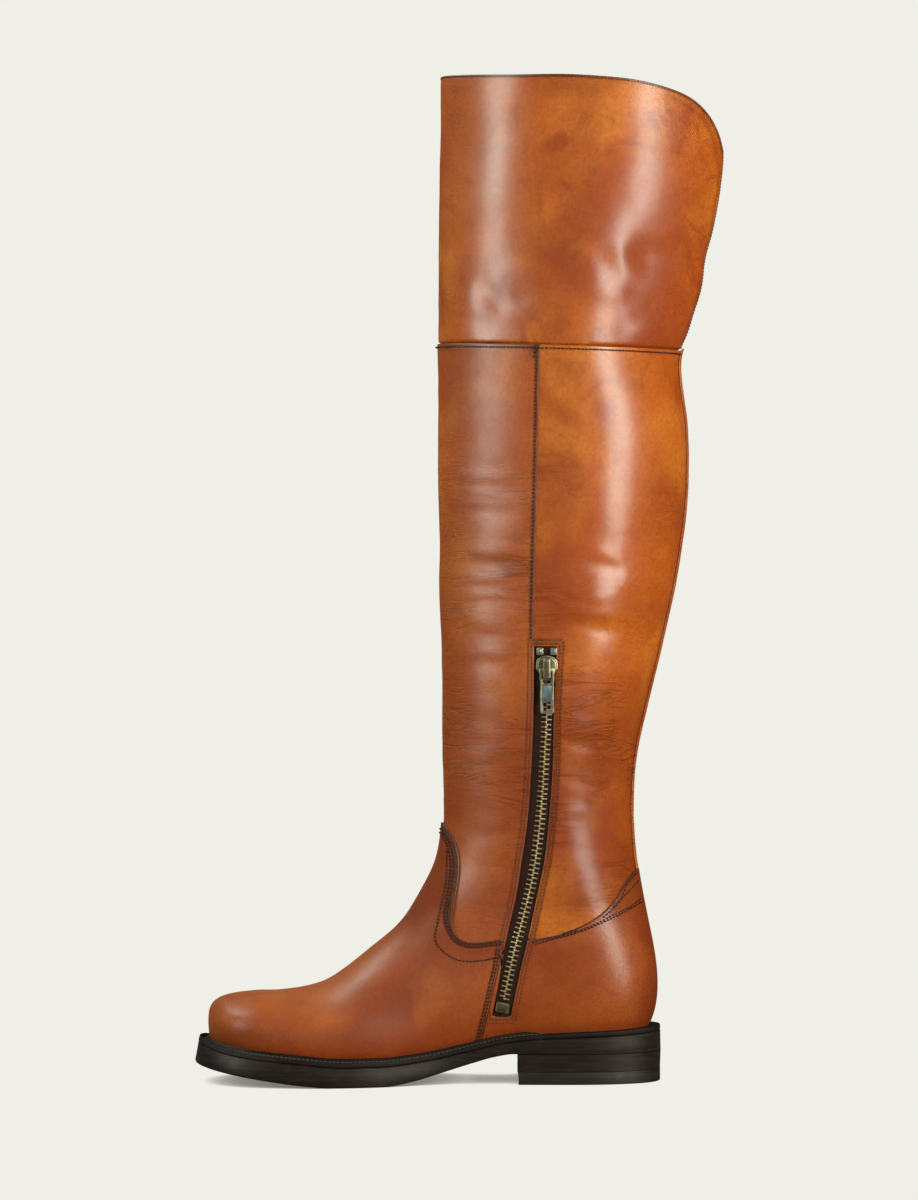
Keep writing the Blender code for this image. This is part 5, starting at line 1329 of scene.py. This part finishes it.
# %% Sole finishes
def sole_finish(name, dark, light, gloss, layers=0.0):
    """layers is the height of one leather layer in mm, where the layers show."""
    f = Finish(name, Coat_Weight=0.0, Coat_Roughness=0.22, Specular_IOR_Level=0.2, Specular_Tint=(1.0, 0.7, 0.64, 1.0))
    streaks = f.clouds(1.0, 3.0, 0.6, 0.0, (30.0, 30.0, 700.0))
    dust = f.clouds(160.0, 5.0, 0.65)
    tone = f.mix(f.ease(streaks, 0.35, 0.7), dark, light)
    tone = f.mix(f.ease(dust, 0.6, 0.85, 0.0, 0.14), tone, linear(96, 78, 66))
    height = f.calc("MULTIPLY", streaks, 0.5)
    if layers:
        layer = f.calc("MULTIPLY", f.add("ShaderNodeSeparateXYZ", (f.where,), "Z"), 1000 / layers)
        line = f.ease(f.calc("ABSOLUTE", f.calc("SUBTRACT", f.calc("FRACT", layer), 0.5)), 0.42, 0.5)
        tone = f.mix(f.calc("MULTIPLY", line, 0.08), tone, linear(18, 14, 13))
        height = f.calc("MULTIPLY_ADD", line, -0.03, height)
    grit = f.bump(f.clouds(700.0, 3.0, 0.6), 0.00006, 0.6)
    return f.done(Base_Color=tone, Roughness=f.ease(dust, 0.3, 0.8, gloss, gloss + 0.14),
                  Normal=f.bump(height, 0.00012, 0.6, grit))


EDGE_INK = sole_finish("sole edge ink", linear(18, 13, 11), linear(34, 26, 22), 0.44)
WELT_INK = sole_finish("welt ink", linear(10, 7, 5), linear(24, 17, 14), 0.62)
STACK_INK = sole_finish("heel stack ink", linear(20, 15, 13), linear(34, 27, 23), 0.42, layers=3.4)
LIFT_RUBBER = sole_finish("top lift rubber", linear(22, 17, 15), linear(36, 29, 25), 0.5)
THREAD_WELT = thread("thread welt", linear(84, 68, 54), 0.6)

# %% Welt and rand
RAND_HIGH, RAND_THICK, EDGE_BEVEL = 2.0, 1.5, 0.8
RAND_ENDS, SEWN_TO = (38.0, 52.0), 50.0  # where the rand fades out, and where the welt's stitches stop
x = leather_line[:, 0]
top = welt_top(x)
edge = spread(leather_line, margin(x))
edge_top, edge_flare = welt_top(edge[:, 0]), flare(edge[:, 0])


def rand_height(at):
    """The rand runs round the forefoot and ends at the front of the heel."""
    return 0.15 + RAND_HIGH * (1 - smooth_step(at, *RAND_ENDS))


rand_line = outline_at(OVERLAY[1], lambda at: welt_top(at) + rand_height(at))
lean = 0.3 + np.minimum(np.linalg.norm(rand_line - leather_line, axis=1), 2.2)
high = rand_height(x)
groove = np.maximum(0.62 * margin(x) + 0.9, 3.0)  # the stitches' groove, from the leather
welt_rings = rings_of(leather_line, (
    (0.3, top - WELT_THICK), (0.3, top), (lean, top + high), (lean + 0.5 * RAND_THICK, top + high + 0.12),
    (lean + 0.92 * RAND_THICK, top + 0.8 * high), (RAND_THICK + 1.2, top + 0.3 * high), (RAND_THICK + 1.4, top + 0.02),
    (groove - 0.05, top), (groove + 0.35, top - 0.4), (groove + 0.75, top),
)) + rings_of(edge, (
    (-EDGE_BEVEL, edge_top), (-0.22 * EDGE_BEVEL, edge_top - 0.2 * EDGE_BEVEL), (0.0, edge_top - EDGE_BEVEL),
    (0.2 * edge_flare, edge_top - WELT_THICK + 0.35), (0.2 * edge_flare - 0.3, edge_top - WELT_THICK),
))
welt = stacked("welt_and_rand", welt_rings, WELT_INK, caps=False, sharp=50)
ahead_of_heel = x < SEWN_TO
path = rings_of(leather_line, ((groove + 0.35, top + 0.3),))[0][np.argmax(ahead_of_heel):][:ahead_of_heel.sum()]
stitches_welt = run_tree("stitches_welt", [(path, np.tile([0.0, 0.0, 1.0], (len(path), 1)))], STITCH_TREE,
                         THREAD_WELT, Pitch=2.6 * MM, Length=2.2 * MM, Thickness=0.8 * MM, Turn=0.08)

# %% Outsole
seam_z = edge_top - WELT_THICK - LAYER_GAP
under = sole_bottom(edge[:, 0])
soft = 1 - 0.85 * smooth_step(edge[:, 0], 30.0, 40.0)  # the sole's lower edge is rounded only ahead of the heel
outsole = stacked("outsole_leather", rings_of(edge, (
    (0.2 * edge_flare - 0.35, seam_z), (0.2 * edge_flare, seam_z - 0.4), (0.6 * edge_flare, (seam_z + under) / 2),
    (edge_flare, under + 1.0 * soft), (edge_flare - 0.3 * soft, under + 0.3 * soft), (edge_flare - soft, under),
    (edge_flare - 5.2, under), (edge_flare - 5.6, under + 0.5), (edge_flare - 6.0, under),
)), EDGE_INK)

# %% Heel
BREAST_X, BREAST_HOLLOW, LIFT_THICK = 35.5, 2.5, 7.6  # the breast is the heel's front face


def heel_outline(line):
    """The sole's edge behind the breast, closed by the slightly hollow breast, in pairs from the back."""
    sides = []
    for part in (line[:HALF_OUTLINE + 1], np.roll(line, -HALF_OUTLINE, axis=0)[:HALF_OUTLINE + 1][::-1]):
        sides.append((part[part[:, 0] > BREAST_X + 0.8], np.interp(BREAST_X, *part[::-1].T)))
    (inner, inner_end), (outer, outer_end) = sides
    count = min(len(inner), len(outer))
    share = np.linspace(0, 1, 25)
    breast = np.column_stack([
        BREAST_X + BREAST_HOLLOW * 4 * share * (1 - share), inner_end + (outer_end - inner_end) * share,
    ])
    return np.concatenate([inner[:count], breast, outer[:count][:0:-1]])


heel_line = heel_outline(spread(edge, edge_flare))
heel_top, heel_low = float(sole_bottom(BREAST_X)) - LAYER_GAP, LIFT_THICK + LAYER_GAP
steps = [(-0.35 * share, heel_top + share * (heel_low - heel_top)) for share in np.linspace(0, 1, 7)]
heel = stacked("heel_stack", rings_of(heel_line, steps), STACK_INK, sharp=42)
steps = ((-0.45, LIFT_THICK), (-0.32, LIFT_THICK - 0.15), (-0.3, EDGE_BEVEL), (-0.35, 0.2), (-0.8, 0.0))
top_lift = stacked("top_lift_rubber", rings_of(heel_line, steps), LIFT_RUBBER, sharp=42)

# %% [markdown]
# ## Insole
# Deep in the boot lies a leather sock, paler than the outside and hardly polished. Only someone who looks down the
# shaft sees it, but from above it is what closes the view.

# %% Insole
insole_leather = plain_finish("insole leather", (26.0, 5.0, 0.6), linear(168, 122, 82), linear(196, 152, 108),
                              (800.0, 3.0, 0.6), (0.00008, 0.5), Roughness=0.62)
insole_line = outline_at(-LEATHER - 1.6, lambda at: welt_top(at) - WELT_THICK)
insole_z = welt_top(insole_line[:, 0]) - WELT_THICK + 0.7
steps = [(aside, insole_z + up) for aside, up in ((-0.2, 0.0), (0.0, 1.6), (-0.25, 2.3), (-1.0, 2.6), (-9.0, 2.45))]
insole = stacked("insole_sock", rings_of(insole_line, steps), insole_leather)

# %% [markdown]
# ## Zip
# The zip lets the foot in past the narrow ankle. Its parts are the woven tape behind the window, two rows of brass
# teeth clamped to the tape's edges so that each tooth sits between two of the other row, a stop at each end, the
# slider that meshes the teeth and the pull that hangs on it. The teeth follow the window's slight bend, so they too
# are laid along a path by Geometry Nodes, a few dozen faces each.

# %% Metal and tape finishes
def metal(name, dark, light, rough=0.34):
    """Blackened metal, coloured lighter on its edges and ridges as a painted highlight, and lighter in random patches.
    """
    f = Finish(name, Metallic=1.0)
    # painted highlight: the edges and ridges found by pointiness are coloured lighter; the clouds add random lighter
    # patches
    glint_and_patches = f.ease(f.add("ShaderNodeNewGeometry", out="Pointiness"), 0.5, 0.58)
    cloud = f.clouds(500.0, 4.0, 0.6)
    glint_and_patches = f.calc("ADD", glint_and_patches, f.calc("MULTIPLY", cloud, 0.5), clamp=True)
    return f.done(Base_Color=f.mix(glint_and_patches, dark, light), Roughness=f.ease(cloud, 0.3, 0.8, rough, rough + 0.2),
                  Normal=f.bump(f.clouds(1800.0, 2.0), 0.00003, 0.5))


BRASS = metal("antique brass", linear(104, 78, 52), linear(208, 172, 126))
BRASS_DARK = metal("antique brass slider", linear(72, 60, 42), linear(126, 106, 76), 0.38)
# The lighter rim metal colours the softened edges of the zip's metal parts, as a painted highlight.
GLINT_RIM_METAL = metal("worn metal rim", linear(136, 118, 92), linear(192, 172, 140))
PULL_STEEL = metal("pull steel", linear(88, 94, 96), linear(138, 144, 146), 0.42)
STEEL = metal("steel stop", linear(96, 90, 84), linear(206, 200, 192), 0.3)

# Twill: fine slanting ribs, drawn from the distances across and down the tape.
f = Finish("zip tape twill", Roughness=0.9, Specular_IOR_Level=0.12)
across_tape = f.calc("MULTIPLY", f.calc("ABSOLUTE", f.kept("across_mm")), 6.0)
ribs = f.calc("SINE", f.calc("ADD", across_tape, f.calc("MULTIPLY", f.kept("down_mm"), 7.5)))
tone = f.mix(f.ease(ribs, -1.0, 1.0), linear(24, 10, 7), linear(58, 26, 18))
tone = f.mix(f.clouds(300.0, 3.0), tone, linear(44, 24, 18))
TAPE = f.done(Base_Color=tone, Normal=f.bump(ribs, 0.00012, 0.8))

# %% Tape
TAPE_DEPTH, TAPE_THICK = -1.15, 0.75
LIFT_FROM, LIFT_TO = 104.0, 78.0


def zip_lift(z):
    """The zip comes forward where the foot's overlays make the leather thicker."""
    return OVERLAY[1] * (1 - smooth_step(z, LIFT_TO, LIFT_FROM))


def tape_depth(a, b):
    return TAPE_DEPTH + zip_lift(skin(a, b)[..., 2])


in_tape = on_form(lambda p: 0.9 - window_distance(p))
tape = make_sheet(
    "zip_tape_twill", cut_sheet(rows_from(PLACE["taper"], PLACE["waist"], 1.0), np.linspace(0.6, 2.2, 150), in_tape),
    tape_depth, lambda a, b: tape_depth(a, b) - TAPE_THICK, (TAPE, TAPE, TAPE),
    {"across_mm": lambda p: side_distance(p, CHAIN_LINE), "down_mm": lambda p: p[..., 2]}, 0.15,
)

# %% Teeth
# One tooth is a bar clamped over the tape's edge, with a rounded head that meshes with its neighbours. Each row says
# how far out it is, half its width and its height.
TOOTH = (
    (0.35, 0.34, 0.62), (-0.15, 0.56, 0.84), (-0.75, 0.52, 0.9), (-1.2, 0.34, 0.80), (-2.5, 0.36, 0.70),
    (-3.0, 0.28, 0.45),
)
TOOTH_PITCH, TOOTH_ABOVE_TAPE = 2.94, 0.55
CHAIN_TOP, CHAIN_LOW = 246.0, 50.5
points, faces = [], [tuple(range(5, -1, -1)), tuple(range(6 * len(TOOTH) - 6, 6 * len(TOOTH)))]
for y, half, high in TOOTH:
    points += [(-half, y, -0.5), (-half, y, high - 0.22), (-half + 0.22, y, high)]
    points += [(half - 0.22, y, high), (half, y, high - 0.22), (half, y, -0.5)]
for k in range(0, 6 * len(TOOTH) - 6, 6):
    faces += [(k + j, k + (j + 1) % 6, k + 6 + (j + 1) % 6, k + 6 + j) for j in range(6)]
mesh = bpy.data.meshes.new("one_tooth")
mesh.from_pydata(np.array(points) * MM, [], faces)
finish_mesh(mesh)
one_tooth = bpy.data.objects.new("one_tooth", mesh)
scene.collection.objects.link(one_tooth)



def tooth(node, given, turn):
    return {"Instance": node("GeometryNodeObjectInfo", {"Object": given["Tooth"]}, "Geometry")}


TEETH_TREE = path_tree("zip_teeth", (("Pitch", "Float", TOOTH_PITCH * MM), ("Tooth", "Object", None)), tooth)
places = drawn_row(CHAIN_LINE[(CHAIN_LINE[:, 1] < CHAIN_TOP) & (CHAIN_LINE[:, 1] > CHAIN_LOW)], step=0.5).T
chain, chain_out = skin(*places), outward(*places)
chain += chain_out * (TAPE_DEPTH + TOOTH_ABOVE_TAPE + zip_lift(chain[:, 2]))[:, None]
run = run_of(chain)
half_pitches = np.arange(0.0, run[-1], TOOTH_PITCH / 2)
chain, chain_out = (read_off(half_pitches, run, values) for values in (chain, chain_out))
teeth = run_tree("zip_teeth_brass", [(chain[::2], chain_out[::2]), (chain[1::2][::-1], chain_out[1::2][::-1])],
                 TEETH_TREE, BRASS, Pitch=TOOTH_PITCH * MM, Tooth=one_tooth)
bpy.data.objects.remove(one_tooth, do_unlink=True)

# %% Metal parts in the zip's own frame
# The chain of the plain solid, in side view. The slider and the stops stand on it, so that the pull turns on its
# joint.
CAD_CHAIN = smooth_line(
    (52.5, 275), (52.5, 245), (52.5, 222), (51.4, 197), (49.7, 167.4), (47.4, 147.6), (44.6, 129.6), (40.9, 112),
    (36.4, 95), (32.9, 79.9), (28.4, 58.9), (25.6, 45), (24.2, 37),
)
TAPE_FACE, SLIDER_Z, SLIDER_HIGH, BOTTOM_STOP_Z = -0.8, 249.5, 3.8, 46.8


def zip_frame(z, depth):
    """Axes at the zip's middle at height z: X across towards the heel, Y up the zip, Z out of the leather."""
    middle, low, high = (float(np.interp(at, *CAD_CHAIN[::-1, ::-1].T)) for at in (z, z - 2, z + 2))
    side = Vector((1.0, 0.0, (low - high) / 4)).normalized()
    place = place_of(middle, z)
    normal = Vector(outward(*place))
    side = (side - normal * side.dot(normal)).normalized()
    turn = Matrix((side, normal.cross(side), normal)).transposed().to_4x4()
    return Matrix.Translation((Vector(skin(*place)) + normal * (depth + float(zip_lift(z)))) * MM) @ turn


def plate(bm, outline, holes, low, high, slot=0):
    """A flat plate with holes, from low to high in mm, added to a mesh under construction in a material slot."""
    before = len(bm.faces)
    loops = []
    for line in [outline, *holes]:
        verts = [bm.verts.new((px * MM, py * MM, low * MM)) for px, py in line]
        loops += [bm.edges.new(ends) for ends in zip(verts, verts[1:] + verts[:1])]
    made = bmesh.ops.triangle_fill(bm, use_beauty=True, edges=loops)["geom"]
    flat = [part for part in made if isinstance(part, bmesh.types.BMFace)]
    raised = bmesh.ops.extrude_face_region(bm, geom=flat, use_keep_orig=True)["geom"]
    verts = [part for part in raised if isinstance(part, bmesh.types.BMVert)]
    bmesh.ops.translate(bm, verts=verts, vec=(0.0, 0.0, (high - low) * MM))
    bm.faces.ensure_lookup_table()
    for face in bm.faces[before:]:
        face.material_index = slot


def rounded_rectangle(low_x, low_y, high_x, high_y, radius):
    corners = ((high_x, high_y, 0), (low_x, high_y, 90), (low_x, low_y, 180), (high_x, low_y, 270))
    points = []
    for px, py, begin in corners:
        mx = px - math.copysign(radius, px - (low_x + high_x) / 2)
        my = py - math.copysign(radius, py - (low_y + high_y) / 2)
        turns = [math.radians(begin + 90 * k / 4) for k in range(5)]
        points += [(mx + radius * math.cos(t), my + radius * math.sin(t)) for t in turns]
    return points


def metal_piece(name, bm, place, finish, soft):
    """Turns the construction into a piece, in place on the boot, with its edges softened by soft mm and coloured with
    the lighter rim metal as a painted highlight.
    """
    bmesh.ops.dissolve_limit(bm, angle_limit=math.radians(1), verts=bm.verts, edges=bm.edges)
    bmesh.ops.recalc_face_normals(bm, faces=bm.faces)
    mesh = bpy.data.meshes.new(name)
    bm.to_mesh(mesh)
    bm.free()
    mesh.materials.append(finish)
    mesh.materials.append(GLINT_RIM_METAL)
    rough = bpy.data.objects.new(name + "_rough", mesh)
    scene.collection.objects.link(rough)
    bevel = rough.modifiers.new("softened edges", "BEVEL")
    bevel.width, bevel.segments, bevel.limit_method, bevel.material = soft * MM, 2, "ANGLE", 1
    bevel.angle_limit = math.radians(28)
    mesh = bpy.data.meshes.new_from_object(rough.evaluated_get(bpy.context.evaluated_depsgraph_get()))
    bpy.data.objects.remove(rough, do_unlink=True)
    mesh.name = name
    mesh.transform(place)
    mesh.shade_smooth()
    mesh.set_sharp_from_angle(angle=math.radians(40))
    return new_piece(name, mesh)


# %% Stops
def stop_piece(name, z, aside, size, finish, dimple=True):
    wide, high, thick = size
    bm = bmesh.new()
    plate(bm, rounded_rectangle(aside - wide / 2, -high / 2, aside + wide / 2, high / 2, 0.7), [], 0.0, thick)
    if dimple:
        turns = np.linspace(0, 2 * PI, 16, endpoint=False)
        boss = [(aside + 0.95 * math.cos(t), 0.95 * math.sin(t)) for t in turns]
        plate(bm, boss, [], thick - 0.3, thick + 0.3)
    return metal_piece(name, bm, zip_frame(z, TAPE_FACE), finish, 0.25)


TOP_Z, TOP_ASIDE, TOP_SIZE = SLIDER_Z + 10.8, 4.2, (3.9, 4.2, 1.6)
stop_front = stop_piece("top_stop_front", TOP_Z, -TOP_ASIDE, TOP_SIZE, STEEL)
stop_back = stop_piece("top_stop_back", TOP_Z, TOP_ASIDE, TOP_SIZE, STEEL)
bottom_stop = stop_piece("bottom_stop", BOTTOM_STOP_Z, 0.0, (7.6, 5.8, 2.1), BRASS_DARK, dimple=False)

# %% Slider
# A crowned plate holds the teeth together and carries a bridge, the bail, on which the pull hangs.
axis = zip_frame(SLIDER_Z, TAPE_FACE + SLIDER_HIGH)
crown = [(6.4 * math.cos(t), 3.2 + 5.0 * math.sin(t) ** 0.85) for t in np.linspace(0, PI, 17)]
crown += [(-6.4, 0.6), (-4.4, -2.4), (-4.4, -7.0), (4.4, -7.0), (4.4, -2.4), (6.4, 0.6)]
CROWN_MIDDLE = np.array([0.0, 0.4])
bm = bmesh.new()
plate(bm, crown, [], -3.6, -1.9)
plate(bm, CROWN_MIDDLE + (np.array(crown) - CROWN_MIDDLE) * 0.86, [], -2.2, -1.25)
BAIL = (
    (-6.0, -2.0), (-6.0, 0.9), (-5.5, 1.9), (-4.4, 2.5), (5.6, 2.5), (6.7, 1.9), (7.2, 0.9), (7.2, -2.0),
    (6.2, -2.0), (6.2, 0.6), (5.9, 1.2), (5.2, 1.5), (-4.0, 1.5), (-4.7, 1.2), (-5.0, 0.6), (-5.0, -2.0),
)
left, right = ([bm.verts.new((px * MM, py * MM, pz * MM)) for py, pz in BAIL] for px in (-2.0, 2.0))
for low_v, low_w, high_v, high_w in zip(left, left[1:] + left[:1], right, right[1:] + right[:1]):
    bm.faces.new((low_v, low_w, high_w, high_v))
for side in (left, right):
    bm.faces.new(side)
slider = metal_piece("slider_body", bm, axis, BRASS_DARK, 0.42)

# %% Pull
PULL_LOW, PULL_HALF_THICK = -26.35, 0.65
outline = [
    (4.6, 0.65), (-4.6, 0.65), (-4.6, -0.9), (-4.25, -2.2), (-3.95, -9.5), (-4.1, -13.0), (-4.1, PULL_LOW + 0.8),
    (-3.3, PULL_LOW), (3.3, PULL_LOW), (4.1, PULL_LOW + 0.8), (4.1, -13.0), (3.95, -9.5), (4.25, -2.2), (4.6, -0.9),
]
loop = rounded_rectangle(-2.75, -8.3, 2.75, -0.65, 1.6)
opening = rounded_rectangle(-2.3, PULL_LOW + 1.8, 2.3, PULL_LOW + 6.9, 0.5)
field = rounded_rectangle(-3.0, PULL_LOW + 0.95, 3.0, -9.4, 0.6)
bm = bmesh.new()
plate(bm, outline, [loop, field], -PULL_HALF_THICK, PULL_HALF_THICK, 1)
sunk = [(px * 1.04, py + (0.15 if py > -12 else -0.15)) for px, py in field]  # reaches a little under the rim
plate(bm, sunk, [opening], -0.4, 0.32)
pull = metal_piece("pull_tab", bm, axis, PULL_STEEL, 0.2)

# %% [markdown]
# ## Put the pieces on the boot
# Each piece takes the place of the plain solid it dresses and moves with it. Everything stands on the boot itself
# except the zip's pull, which swings.

# %% Ride and replace
# Each piece, the solid it dresses, and whether it stands in for that solid or only lies on it.
PIECES = (
    (front_panel, "upper", True), (back_panel, "upper", False), (cuff, "cuff", True), (vamp, "vamp", True),
    (counter, "counter", True), (back_strip, "back_strip", True), (stitches_cuff, "cuff", False),
    (stitches_seam, "upper", False), (stitches_strip, "back_strip", False), (stitches_zip, "upper", False),
    (stitches_zip_low, "counter", False), (stitches_tacks, "vamp", False), (stitches_vamp, "vamp", False),
    (stitches_counter, "counter", False), (welt, "welt", True), (stitches_welt, "welt", False),
    (outsole, "outsole", True), (heel, "heel", True), (top_lift, "top_lift", True), (insole, "insole", True),
    (tape, "zip_tape", True), (teeth, "zip_chain", True), (stop_front, "zip_top_stop_front", True),
    (stop_back, "zip_top_stop_back", True), (bottom_stop, "zip_bottom_stop", True), (slider, "zip_slider", True),
    (pull, "zip_pull", True),
)
triangles = 0
for piece, node, stands_in in PIECES:
    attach(piece, "pull" if piece is pull else "boot")
    if stands_in:
        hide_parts(node)
    piece.data.calc_loop_triangles()
    triangles += len(piece.data.loop_triangles)
print("triangles added:", triangles)
